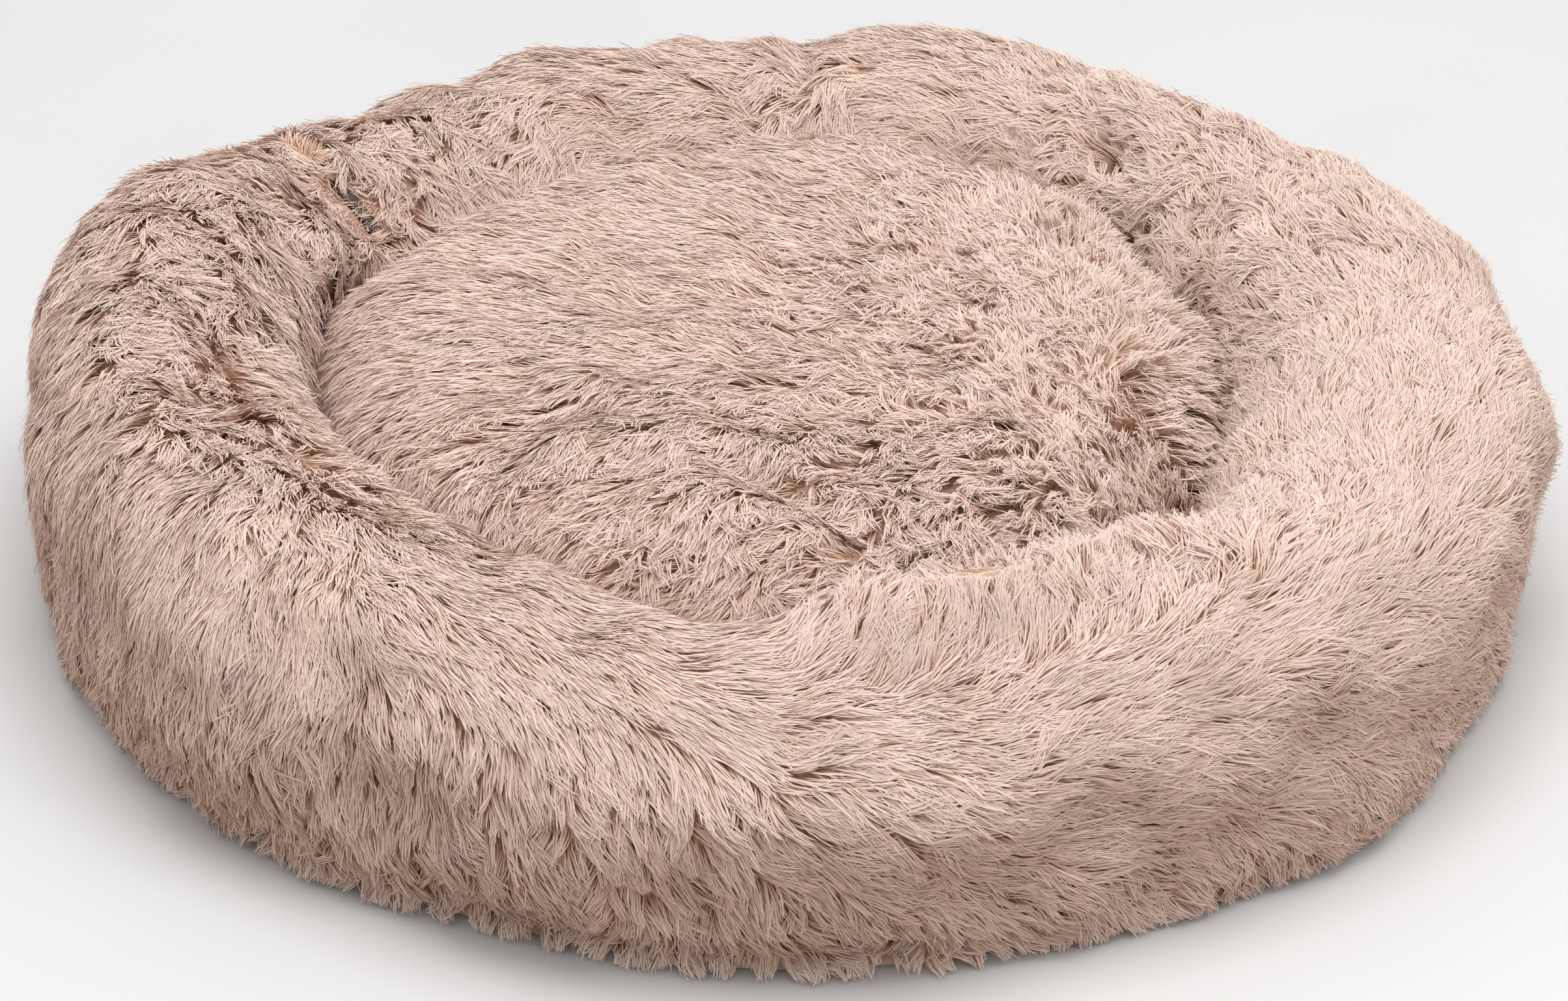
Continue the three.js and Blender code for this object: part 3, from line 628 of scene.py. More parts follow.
# How far the strands of a lock gather towards its tip: least, by chance, and for tousled and clumped fur
GATHER_LEAST = 0.12
GATHER_CHANCE = 0.15
GATHER_TOUSLED = 0.7
GATHER_CLUMPED = 0.5
MOST_PULL = 0.86

# How far apart the waves are that run through the fur, from broad to fine, and the degrees by which they
# turn it: the broad ones everywhere and the others where it is tousled. They also change how it curls, in
# degrees, and its length, its lift and the height of its tips, by these shares.
WAVE_SIZES = (0.14, 0.05, 0.018)
WAVE_TURNS = (5, 40, 28)
WAVE_CURL = 70
WAVE_LENGTH = 0.1
WAVE_LIFT = 0.15
BROAD_TIPS = 0.04
MIDDLING_TIPS = 0.06

# How high the tips lie in the pile, what a clump sinks them by, and how fur that stands up is higher and
# shorter
TIP_HEIGHT = 0.92
CLUMP_SINK = 0.65
LIFT_HEIGHT = 1.5
LIFT_SHORTER = 0.6
WIDE_HEIGHT = 0.95

# How shades differ at random between clumps, locks and strands round a middle one, and how far a strand's
# colour follows its own length and its height in the pile. Its colour darkens towards the roots and deep in
# the pile: painted shade for the shadow and warm scattered light between strands.
MIDDLE_SHADE = 0.5
HIGHEST_SHADE = 0.999
CLUMP_SHADES = 0.12
LOCK_SHADES = 0.10
STRAND_SHADES = 0.14
PAINTED_SHADE_BY_LENGTH = 0.35
PAINTED_SHADE_BY_HEIGHT = 0.65

# At a bared zip the fur is shorter and lies flatter, by these shares and over these widths
BARED_FROM = 0.4
BARED_SHORTER = (0.6, 0.025)
BARED_FLATTER = (0.85, 0.016)

# Powers of the share along a strand: for its run over the ground, its gathering with its neighbours and its
# rise through the pile. The last power makes few locks sink far.
RUN_POWER = 1.25
GATHER_POWER = 1.3
RISE_POWER = 1.8
SUNK_POWER = 1.8


def by_tousle(pair, tousle):
    return pair[0] + pair[1] * tousle


def lock_guides(pile, groom, places, turn, curl, length, part_from):
    """The middle line of each lock, as places at each station, and the way out there."""
    guide = [places]
    ways_out = [slopes(pile, places)[2]]
    where = places
    progress = STRAND_STATIONS ** RUN_POWER
    for earlier, later, station in zip(progress, progress[1:], STRAND_STATIONS[1:]):
        slope = slopes(pile, where)
        along, across, outward = slope
        way, _ = groom.at(where, slope)
        if part_from is not None:
            way = part_from(places, where, way, along)
        angle = (turn + curl * station)[:, None]
        way = way * np.cos(angle) + np.cross(outward, way) * np.sin(angle)
        where = pile.hold(where + moved(along, across, way) * (length * (later - earlier))[:, None])
        guide.append(where)
        ways_out.append(outward)
    guide = np.stack(guide, 1)
    if part_from is not None:
        for station in range(1, len(STRAND_STATIONS)):
            away, bared = beside_zips(guide[:, station, 0], guide[:, station, 1])
            crosses = (np.abs(away) < BARED_HALF_WIDTH) & (bared > BARED_FROM)
            guide[crosses, station] = guide[crosses, station - 1]
    return guide, np.stack(ways_out, 1)


def comb(pile, groom, places, random, seed, part_from=None):
    """Strands of combed locks that are rooted at places. Returns each strand's points, the way out at
    each point, a shade from 0 to 1, whether it is wide and how high its points are in the pile, which
    picks the painted shade that darkens the fur towards its roots."""
    count = len(places)
    roots = pile.point(places, 0)
    broad, middling, fine = (waves(seed + n, size)(roots) for n, size in enumerate(WAVE_SIZES))
    slope = slopes(pile, places)
    first_way, (tousle, lift, clump) = groom.at(places, slope)

    # Each lock's turn and curl out of the groom's way in degrees, its length and the height of its tip
    steady, wavy, wild = WAVE_TURNS
    turn = steady * broad + tousle * (wavy * middling + wild * fine)
    turn = turn + random.normal(0, by_tousle(TURN_NOISE, tousle))
    wild_curl = tousle * (WAVE_CURL * fine + random.normal(0, CURL_NOISE[1], count))
    curl = wild_curl + random.normal(0, CURL_NOISE[0], count)
    length = pile.length * (1 - LIFT_SHORTER * lift) * random.uniform(*LOCK_LENGTHS, count)
    length = length * (1 + WAVE_LENGTH * middling)
    if part_from is not None:
        away, bared = beside_zips(*places.T)
        share, reach = BARED_SHORTER
        length = length * (1 - share * bared * np.exp(-np.abs(away) / reach))
    length = np.minimum(length, pile.room(roots, first_way))
    lift = np.clip(lift + tousle * (WAVE_LIFT * fine + WAVE_LIFT * middling), 0, 1)
    sunk = (by_tousle(SUNK_LOCKS, tousle) + CLUMP_SINK * clump) * random.random(count) ** SUNK_POWER
    top = TIP_HEIGHT + MIDDLING_TIPS * middling + BROAD_TIPS * broad - sunk + LIFT_HEIGHT * lift
    if part_from is not None:
        share, reach = BARED_FLATTER
        top = top * (1 - share * bared * np.exp(-((away / reach) ** 2)))
    guide, ways_out = lock_guides(
        pile, groom, places, np.radians(turn), np.radians(curl), length, part_from
    )

    # Locks draw together in clumps
    leader = nearest_leaders(roots, random)
    pull = clump * random.uniform(*CLUMP_PULLS, count)
    guide = guide + (guide[leader] - guide) * (pull[:, None] * STRAND_STATIONS ** GATHER_POWER)[..., None]

    # Strands stand round their lock's root and gather towards its tip, but for a few loose ones
    scale = np.stack([np.linalg.norm(slope[0], axis=1), np.linalg.norm(slope[1], axis=1)], 1)
    strands = count * pile.strands_per_lock
    lock = np.repeat(np.arange(count), pile.strands_per_lock)
    angle = random.uniform(0, 2 * np.pi, strands)
    reach = np.sqrt(random.random(strands)) * pile.lock_radius
    offset = np.stack([np.cos(angle), np.sin(angle)], 1) * reach[:, None] / scale[lock]
    chance = np.clip(MOST_LOOSE - LESS_LOOSE * tousle - LESS_LOOSE * clump, LEAST_LOOSE, MOST_LOOSE)
    loose = random.random(strands) < chance[lock]
    pull = GATHER_LEAST + GATHER_CHANCE * random.random(count)
    pull = pull + GATHER_TOUSLED * tousle + GATHER_CLUMPED * clump
    pull = np.where(loose, LOOSE_PULL, np.minimum(pull, MOST_PULL)[lock])
    gather = 1 - pull[:, None] * STRAND_STATIONS ** GATHER_POWER

    # A strand ends at a share of its lock's length, so its stations lie between the lock's
    longest = random.uniform(*STRAND_LENGTHS, strands) * np.where(loose, LOOSE_LENGTH, 1)
    share = longest[:, None] * STRAND_STATIONS
    stations = np.interp(share, STRAND_STATIONS, range(len(STRAND_STATIONS)))
    below = np.minimum(stations.astype(int), len(STRAND_STATIONS) - 2)
    part = (stations - below)[..., None]
    rows = lock[:, None]
    line = guide[rows, below] * (1 - part) + guide[rows, below + 1] * part
    line = line + offset[:, None, :] * gather[..., None]

    # How high the strands rise in the pile
    is_stray = random.random(strands) < by_tousle(STRAY_CHANCE, tousle)[lock]
    stray = np.where(is_stray, random.uniform(*STRAY_RISES, strands), 0)
    rise = top[lock][:, None] * (1 - (1 - STRAND_STATIONS) ** RISE_POWER)
    uneven = random.normal(0, 1, strands) * by_tousle(RISE_NOISE, tousle)[lock] + stray
    rise = rise + uneven[:, None] * STRAND_STATIONS ** 2
    is_wide = random.random(strands) < WIDE_SHARE
    rise = rise * np.where(is_wide, WIDE_HEIGHT, 1)[:, None]
    points = pile.point(pile.hold(line), rise)
    out = ways_out[lock]

    # They sway from side to side by a little
    side = unit(np.cross(np.gradient(points, axis=1), out))
    sway = by_tousle(SWAY, tousle)[lock] * random.normal(0, 1, strands)
    phases = random.uniform(0, 2 * np.pi, strands)[:, None]
    wave = np.sin(STRAND_STATIONS * SWAY_TURN + phases) * STRAND_STATIONS
    points = points + side * (sway[:, None] * wave)[..., None]
    points[..., 2] = np.maximum(points[..., 2], FLOOR_CLEARANCE)

    # Shades differ from clump to clump, lock to lock and strand to strand
    tint = LOCK_SHADES * random.normal(size=count) + CLUMP_SHADES * random.normal(size=count)[leader]
    shade = MIDDLE_SHADE + STRAND_SHADES * random.normal(size=strands) + tint[lock]
    shade = np.clip(shade, 0, HIGHEST_SHADE)
    # Painted shade: the lower a point lies in the pile, the darker and warmer its colour
    shade_by_height = PAINTED_SHADE_BY_HEIGHT * rise / np.maximum(top, 1)[lock][:, None]
    height = np.clip(PAINTED_SHADE_BY_LENGTH * STRAND_STATIONS + shade_by_height, 0, 1)
    return points, out, shade, is_wide, height


# Mesh builders

def node_slot(node):
    return next(part["material_slot"] for part in frame["record"]["subparts"] if part["node"] == node)


def node_body(node):
    return "cushion" if node.startswith("cushion") else "bed"


def add_object(name, mesh, body, slot, material=None):
    """A piece of the bed, with its slot's material unless another is given."""
    thing = bpy.data.objects.new(name, mesh)
    bpy.context.scene.collection.objects.link(thing)
    mesh.materials.append(material or MATERIALS[slot])
    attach(thing, body)
    return thing


def mesh_of(name, vertices, corners, sizes):
    """A smooth mesh from arrays: vertices, the corners of all faces in a row, and corners to a face."""
    mesh = bpy.data.meshes.new(name)
    mesh.vertices.add(len(vertices))
    mesh.vertices.foreach_set("co", np.ascontiguousarray(vertices, np.float32).ravel())
    mesh.loops.add(len(corners))
    mesh.loops.foreach_set("vertex_index", corners.astype(np.int32))
    mesh.polygons.add(len(sizes))
    mesh.polygons.foreach_set("loop_start", (np.cumsum(sizes) - sizes).astype(np.int32))
    mesh.polygons.foreach_set("use_smooth", np.ones(len(sizes), bool))
    mesh.update(calc_edges=True)
    return mesh


def strand_mesh(name, points, out, shade, is_wide, height, random):
    """Tapering ribbons along strands, a wide one for a wisp of many hairs and a fine one for a few. Their
    map gives each a column for its shade, and its height in the pile, which picks the painted shade
    towards the roots. A wide one spans all streaks of its column."""
    count, stations = points.shape[:2]
    roll = (random.normal(0, 1, count) * np.where(is_wide, *STRAND_ROLLS))[:, None, None]
    tangent = unit(np.gradient(points, axis=1))
    side = unit(np.cross(tangent, out))
    up = np.cross(side, tangent)
    side = side * np.cos(roll) + up * np.sin(roll)
    facing = unit(np.cross(side, tangent) + out)
    width = np.where(is_wide, *STRAND_WIDTHS) * random.uniform(*WIDTH_SHARES, count)
    taper = STRAND_TAPER[None, :, None] * width[:, None, None]
    left = points[:, :-1] - side[:, :-1] * taper / 2
    right = points[:, :-1] + side[:, :-1] * taper / 2
    pairs = np.stack([left, right], 2).reshape(count, -1, 3)
    vertices = np.concatenate([pairs, points[:, -1:]], 1)
    each = vertices.shape[1]
    corners = []
    for row in range(stations - 2):
        a = 2 * row
        corners += [a, a + 1, a + 3, a + 2]
    corners += [each - 3, each - 2, each - 1]
    corners = np.array(corners)
    sizes = np.tile([4] * (stations - 2) + [3], count)
    loops = (np.arange(count)[:, None] * each + corners).ravel()
    mesh = mesh_of(name, vertices.reshape(-1, 3), loops, sizes)

    # The map's columns. A fine strand takes one streak of its column.
    streak = (random.integers(0, STREAKS_TO_A_COLUMN, count) + 0.5) / STREAKS_TO_A_COLUMN
    middle = np.where(is_wide, 0.5, streak)[:, None]
    reach = np.where(is_wide, *STRAND_REACHES)[:, None]
    across = middle + reach * np.array([-1, 1] * (stations - 1) + [0])
    down = np.concatenate([np.repeat(height[:, :-1], 2, axis=1), height[:, -1:]], 1)
    column = np.floor(shade * PALETTE_COLUMNS)[:, None]
    u = ((column + across) / PALETTE_COLUMNS)[:, corners]
    v = down[:, corners]
    chart = np.stack([u, v], -1).astype(np.float32).ravel()
    for layer in ("strand", "OFBake"):
        mesh.uv_layers.new(name=layer).uv.foreach_set("vector", chart)
    bulge = np.where(is_wide, *STRAND_BULGES)[:, None, None] * side[:, :-1]
    edges = np.stack([facing[:, :-1] - bulge, facing[:, :-1] + bulge], 2).reshape(count, -1, 3)
    facing = unit(np.concatenate([edges, facing[:, -1:]], 1))
    mesh.normals_split_custom_set_from_vertices(facing.reshape(-1, 3))
    return mesh


def add_cloth(title, skin, node):
    """The cloth on which the pile of a node stands."""
    cloth = add_object(title, skin, node_body(node), node_slot(node), pile_cloth)
    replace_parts(cloth, node)


def add_pile(title, pile, groom, places, random, seed, node, part_from=None):
    """Combed strands at places, in as few pieces as their number allows."""
    places = places[np.argsort(pile.bearing(places))]
    strands = comb(pile, groom, places, random, seed, part_from=part_from)
    pieces = math.ceil(len(strands[0]) / MOST_STRANDS_TO_A_PIECE)
    for index, some in enumerate(zip(*(np.array_split(values, pieces) for values in strands))):
        name = f"{title}_{index + 1}"
        mesh = strand_mesh(name, *some, random)
        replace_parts(add_object(name, mesh, node_body(node), node_slot(node)), node)


def shell_mesh(name, outside, inside, is_ring=False):
    """A closed cloth between two grids of points, given as stations, points across and coordinates."""
    stations, across = outside.shape[:2]
    index = np.arange(stations * across).reshape(stations, across)
    if is_ring:
        index = np.concatenate([index, index[:1]])
    far = index + stations * across

    def quads(a, b, c, d):
        return np.stack([x.ravel() for x in (a, b, c, d)], 1)

    faces = [
        quads(index[:-1, :-1], index[1:, :-1], index[1:, 1:], index[:-1, 1:]),
        quads(far[:-1, 1:], far[1:, 1:], far[1:, :-1], far[:-1, :-1]),
        quads(index[1:, 0], index[:-1, 0], far[:-1, 0], far[1:, 0]),
        quads(index[:-1, -1], index[1:, -1], far[1:, -1], far[:-1, -1]),
    ]
    if not is_ring:
        faces.append(quads(index[0, :-1], index[0, 1:], far[0, 1:], far[0, :-1]))
        faces.append(quads(index[-1, 1:], index[-1, :-1], far[-1, :-1], far[-1, 1:]))
    faces = np.concatenate(faces)
    vertices = np.concatenate([outside.reshape(-1, 3), inside.reshape(-1, 3)])
    return mesh_of(name, vertices, faces.ravel(), np.full(len(faces), 4))


# Materials

class Nodes:
    """The nodes of a world or material under construction."""

    def __init__(self, owner):
        owner.use_nodes = True
        self.tree = owner.node_tree

    def add(self, kind, inputs=None, **settings):
        node = self.tree.nodes.new(kind)
        for key, value in settings.items():
            setattr(node, key, value)
        for key, value in (inputs or {}).items():
            if isinstance(value, bpy.types.NodeSocket):
                self.tree.links.new(value, node.inputs[key])
            else:
                node.inputs[key].default_value = value
        return node

    def ramp(self, factor, *stops):
        node = self.add("ShaderNodeValToRGB", {"Fac": factor})
        ramp = node.color_ramp
        while len(ramp.elements) < len(stops):
            ramp.elements.new(0.5)
        for element, (position, colour) in zip(ramp.elements, stops):
            element.position = position
            element.color = colour
        return node.outputs["Color"]

    def place(self):
        return self.add("ShaderNodeTexCoord").outputs["Object"]

    def noise(self, scale, detail, roughness=0.5):
        inputs = {"Scale": scale, "Detail": detail, "Roughness": roughness, "Vector": self.place()}
        return self.add("ShaderNodeTexNoise", inputs).outputs["Fac"]

    def maths(self, operation, first, second=0.0):
        return self.add("ShaderNodeMath", {0: first, 1: second}, operation=operation).outputs[0]


class Surface(Nodes):
    """A material under construction, with its Principled shader."""

    def __init__(self, name, roughness, **sockets):
        self.material = bpy.data.materials.new(name)
        super().__init__(self.material)
        self.shader = self.tree.nodes["Principled BSDF"]
        self.shader.inputs["Roughness"].default_value = roughness
        for socket, value in sockets.items():
            self.shader.inputs[socket.replace("_", " ")].default_value = value

    def colour(self, socket):
        self.tree.links.new(socket, self.shader.inputs["Base Color"])

    def bump(self, height, distance, strength=1.0):
        node = self.add("ShaderNodeBump", {"Height": height, "Distance": distance, "Strength": strength})
        self.tree.links.new(node.outputs["Normal"], self.shader.inputs["Normal"])


# The fur's brightness as a share of its colours': the least, and what its column and its streak add
FUR_VALUE = 0.875
COLUMN_VALUE = 0.20
STREAK_VALUE = 0.08

# A column's hue setting, of which 0.5 leaves a colour as it is
LOWEST_HUE = 0.492
HUE_SPREAD = 0.016


def fur_material(name, root, low, middle, tip):
    """Fur whose colour follows its height in the pile, darker and warmer towards the roots as painted shade
    between the strands, and differs by column and streak of its map.
    """
    nodes = Surface(name, 0.8, Specular_IOR_Level=0.0)
    chart = nodes.add("ShaderNodeUVMap", uv_map="strand").outputs["UV"]
    split = nodes.add("ShaderNodeSeparateXYZ", {"Vector": chart})
    column = nodes.maths("FLOOR", nodes.maths("MULTIPLY", split.outputs["X"], PALETTE_COLUMNS))
    # Painted shade: the ramp darkens the colour from tip to root
    along = nodes.ramp(split.outputs["Y"], (0.05, root), (0.4, low), (0.68, middle), (0.94, tip))
    value = nodes.maths("MULTIPLY_ADD", column, COLUMN_VALUE / PALETTE_COLUMNS)
    value.node.inputs[2].default_value = FUR_VALUE
    streaks = nodes.maths("MULTIPLY", split.outputs["X"], PALETTE_COLUMNS * STREAKS_TO_A_COLUMN)
    streak = nodes.maths("FLOOR", streaks)
    strength = nodes.add("ShaderNodeTexWhiteNoise", {"W": streak}, noise_dimensions="1D").outputs["Value"]
    value = nodes.maths("ADD", value, nodes.maths("MULTIPLY", strength, STREAK_VALUE))
    tone = nodes.add("ShaderNodeTexWhiteNoise", {"W": column}, noise_dimensions="1D").outputs["Value"]
    hue = nodes.maths("MULTIPLY_ADD", tone, HUE_SPREAD)
    hue.node.inputs[2].default_value = LOWEST_HUE
    tinted = nodes.add("ShaderNodeHueSaturation", {"Hue": hue, "Value": value, "Color": along})
    nodes.colour(tinted.outputs["Color"])
    return nodes.material


LINING_THREAD = 0.0006
BASE_THREAD = 0.0008
TAPE_THREAD = 0.0005
THREAD_BUMP = 0.00012
DOT_HEIGHT = 0.0009


def cloth_nodes(name, low, high, thread):
    """A plain weave: two sets of threads, with uneven dye."""
    nodes = Surface(name, 0.9, Specular_IOR_Level=0.2)
    split = nodes.add("ShaderNodeSeparateXYZ", {"Vector": nodes.place()})
    threads = []
    for axis in "XYZ":
        angle = nodes.maths("MULTIPLY", split.outputs[axis], 2 * math.pi / thread)
        threads.append(nodes.maths("SINE", angle))
    weave = nodes.maths("MULTIPLY", nodes.maths("ADD", threads[0], threads[2]), threads[1])
    uneven = nodes.noise(40, 4)
    mixed = nodes.maths("ADD", nodes.maths("MULTIPLY", weave, 0.12), uneven)
    nodes.colour(nodes.ramp(mixed, (0.25, low), (0.75, high)))
    nodes.bump(nodes.maths("ADD", weave, nodes.maths("MULTIPLY", uneven, 2.0)), THREAD_BUMP)
    return nodes


def dotted_material(name, low, high, rubber):
    """Base cloth whose raised dots, the lowest of it, are of rubber."""
    nodes = cloth_nodes(name, low, high, BASE_THREAD)
    height = nodes.add("ShaderNodeSeparateXYZ", {"Vector": nodes.place()}).outputs["Z"]
    is_dot = nodes.maths("LESS_THAN", height, DOT_HEIGHT)
    cloth = nodes.shader.inputs["Base Color"].links[0].from_socket
    mixed = nodes.add("ShaderNodeMix", {0: is_dot, 6: cloth, 7: rubber}, data_type="RGBA")
    nodes.colour(mixed.outputs[2])
    return nodes.material


def fibre_material(name, low, high):
    """Matted fibres: a cloudy colour and a lumpy surface."""
    nodes = Surface(name, 0.95, Specular_IOR_Level=0.2)
    cloud = nodes.noise(60, 6, roughness=0.65)
    nodes.colour(nodes.ramp(cloud, (0.3, low), (0.7, high)))
    nodes.bump(nodes.noise(220, 4), 0.0012)
    return nodes.material


def coil_material(name, low, high, roughness):
    """Nylon with a rib to each turn of a zip's coil."""
    nodes = Surface(name, roughness)
    split = nodes.add("ShaderNodeSeparateXYZ", {"Vector": nodes.place()})
    flat = nodes.add("ShaderNodeCombineXYZ", {"X": split.outputs["X"], "Y": split.outputs["Y"]})
    length = nodes.add("ShaderNodeVectorMath", {0: flat.outputs["Vector"]}, operation="LENGTH")
    level = nodes.maths("SUBTRACT", length.outputs["Value"], ZIP_CENTRE_RADIUS)
    upward = nodes.maths("SUBTRACT", split.outputs["Z"], ZIP_CENTRE_HEIGHT)
    turn = nodes.maths("ARCTAN2", upward, level)
    ribs = nodes.maths("SINE", nodes.maths("MULTIPLY", turn, 2 * math.pi * ZIP_ARC_RADIUS / COIL_PITCH))
    mixed = nodes.maths("ADD", nodes.maths("MULTIPLY", ribs, 0.35), nodes.noise(150, 4))
    nodes.colour(nodes.ramp(mixed, (0.2, low), (0.8, high)))
    nodes.bump(ribs, 0.0003)
    return nodes.material


def metal_material(name, low, high, roughness):
    """Painted metal, a little uneven in colour and height."""
    nodes = Surface(name, roughness, Metallic=0.85)
    cloud = nodes.noise(300, 5)
    nodes.colour(nodes.ramp(cloud, (0.35, low), (0.65, high)))
    nodes.bump(nodes.noise(1600, 2), 0.00002)
    return nodes.material


# The fur's colours from root to tip: the darker, warmer lower ones are painted shade deep in the pile
FUR_COLOURS_SHADED_TO_ROOTS = srgb(200, 152, 122), srgb(225, 190, 168), srgb(236, 211, 195), srgb(240, 218, 206)
pile_cloth = fibre_material("pile_cloth", srgb(214, 180, 158), srgb(232, 203, 184))

MATERIALS = {
    "bolster_fur": fur_material("bolster_fur", *FUR_COLOURS_SHADED_TO_ROOTS),
    "cushion_fur": fur_material("cushion_fur", *FUR_COLOURS_SHADED_TO_ROOTS),
    "lining": cloth_nodes("lining_cloth", srgb(196, 176, 160), srgb(212, 193, 178), LINING_THREAD).material,
    "base_fabric": dotted_material(
        "base_cloth", srgb(150, 130, 117), srgb(168, 148, 134), rubber=srgb(196, 188, 180)
    ),
    "filling": fibre_material("filling", srgb(226, 222, 214), srgb(245, 243, 238)),
    "zip_tape": cloth_nodes("tape_cloth", srgb(150, 133, 120), srgb(170, 153, 140), TAPE_THREAD).material,
    "zip_coil": coil_material("coil_plastic", srgb(120, 106, 96), srgb(144, 130, 119), roughness=0.45),
    "zip_metal": metal_material("zip_metal", srgb(140, 132, 124), srgb(160, 152, 144), roughness=0.35),
}


def dress_nodes():
    """Gives each CAD node the material of its slot."""
    for part in frame["record"]["subparts"]:
        materials = frame["nodes"][part["node"]].data.materials
        materials.clear()
        materials.append(MATERIALS[part["material_slot"]])


# Bolster

# The fur beside a covered zip is denser by this share over this width, from a little above the zip
COVERED_FROM = ZIP_TOP_SHARE - 0.03
EDGE_DENSITY = 1.2
EDGE_WIDTH = 0.010

# No fur grows on this part of a zip's gap
BALD_HALF_WIDTH = 0.7 * ZIP_HALF_GAP

# How strongly fur is combed away from a bared zip and over a covered one, and how far out
PARTING = (3.0, 0.016)
COVERING = (2.2, 0.012)

# The cloth's even steps and the gap at its seams, in degrees
CLOTH_STEP = 1.2
SEAM_GAP = 0.03
CLOTH_ROWS = 90

# The pile of a panel: the shares between which each half grows, and the cells over which it is scattered
PILE_HALVES = (("outside", 0.06, CREST), ("inside", CREST, 0.93))
PILE_STEP = 0.8
PILE_ROWS = 60

PANEL_SEED = 100
BOLSTER_WAVES = 11
CUSHION_SEED = 200
CUSHION_WAVES = 31


def along_zips(share):
    """Whether a share lies where fur is combed over the zips."""
    return (share > COVERED_FROM) & (share < ZIP_FOOT_SHARE)


def clear_of_zips(places):
    """How dense the pile is, against its usual density: none in a zip's gap, and more at its edges."""
    azimuth, share = places[..., 0], places[..., 1]
    away, bared = beside_zips(azimuth, share)
    edge = 1 + EDGE_DENSITY * along_zips(share) * (np.abs(away) < EDGE_WIDTH) * (1 - bared)
    beyond_ends = (share < ZIP_TOP_SHARE) | (share > ZIP_FOOT_SHARE)
    return edge * ((np.abs(away) > BALD_HALF_WIDTH) | beyond_ends)


def part_at_zips(roots, places, way, along):
    """Combs the fur away from a bared zip, and over one that isn't."""
    is_left = (RIGHT_ZIP + LEFT_ZIP) / 2 < roots[0, 0] < RIGHT_SEAM
    side = away_from(roots[:, 0], LEFT_ZIP if is_left else RIGHT_ZIP)
    away, bared = beside_zips(*places.T)
    parted, covered = (push * np.exp(-np.abs(away) / reach) for push, reach in (PARTING, COVERING))
    push = bared * parted - (1 - bared) * along_zips(places[:, 1]) * covered
    return unit(way + unit(along) * (push * np.sign(side))[:, None])


def panel_azimuths(start, end, shares):
    """Stations of a panel's cloth, which draws back from the zips at its edges."""
    gap = math.degrees(ZIP_HALF_GAP / CLOTH_RING_RADIUS)
    beside = (shares > ZIP_TOP_SHARE) & (shares < ZIP_FOOT_SHARE)
    zips = [azimuth % 360 for azimuth in ZIP_AZIMUTHS.values()]
    low = start + np.where(beside & (start % 360 in zips), gap, SEAM_GAP)
    high = end - np.where(beside & (end % 360 in zips), gap, SEAM_GAP)
    steps = np.linspace(0, 1, int((end - start) / CLOTH_STEP))[:, None]
    return low + (high - low) * steps


def make_panel(name, span, seed):
    shares = np.linspace(0, 1, CLOTH_ROWS)
    azimuth = panel_azimuths(*span, shares)
    grids = []
    for depth in (UNDERCOAT_DEPTH, PILE_DEPTH):
        form = bolster_section if depth < PILE_DEPTH else section
        grids.append(on_ring(azimuth, *form(azimuth, np.broadcast_to(shares, azimuth.shape), depth)))
    node = "bolster_cover_" + name
    title = f"bolster_{name}_cloth"
    add_cloth(title, shell_mesh(title, *grids), node)
    random = np.random.default_rng(seed)
    start, end = span
    cells = (int((end - start) / PILE_STEP), PILE_ROWS)
    pile = BolsterPile()
    for side, low, high in PILE_HALVES:
        places = scatter(pile, (start, low), (end, high), cells, random, clear_of_zips)
        title = f"bolster_{name}_pile_{side}"
        add_pile(title, pile, BolsterGroom(), places, random, BOLSTER_WAVES, node, part_at_zips)


def make_bolster():
    for index, (name, span) in enumerate(PANELS.items()):
        make_panel(name, span, PANEL_SEED + index)


# Cushion

CUSHION_CELLS = (110, 110)


def cushion_grid(rise, rings=26, sides=120):
    reach = np.linspace(0.001, 1, rings)[None]
    angle = np.linspace(0, 2 * np.pi, sides, endpoint=False)[:, None]
    return CushionPile().point(np.stack([reach * np.cos(angle), reach * np.sin(angle)], -1), rise)


def make_cushion():
    node = "cushion_fur_top"
    title = "cushion_top_cloth"
    add_cloth(title, shell_mesh(title, cushion_grid(0), cushion_grid(-1), is_ring=True), node)
    random = np.random.default_rng(CUSHION_SEED)
    pile = CushionPile()
    places = scatter(pile, (-1, -1), (1, 1), CUSHION_CELLS, random)
    places = places[np.hypot(*places.T) < 1]
    add_pile("cushion_pile", pile, CushionGroom(), places, random, CUSHION_WAVES, node)


# Tubes, padding and underside

# How far the stuffing rumples the tubes and the cushion, and the height over which it comes to that
TUBE_SAG = 0.0009
CUSHION_SAG = 0.0010
FREE_HEIGHT = 0.03
SAME_PLACE = 0.00001


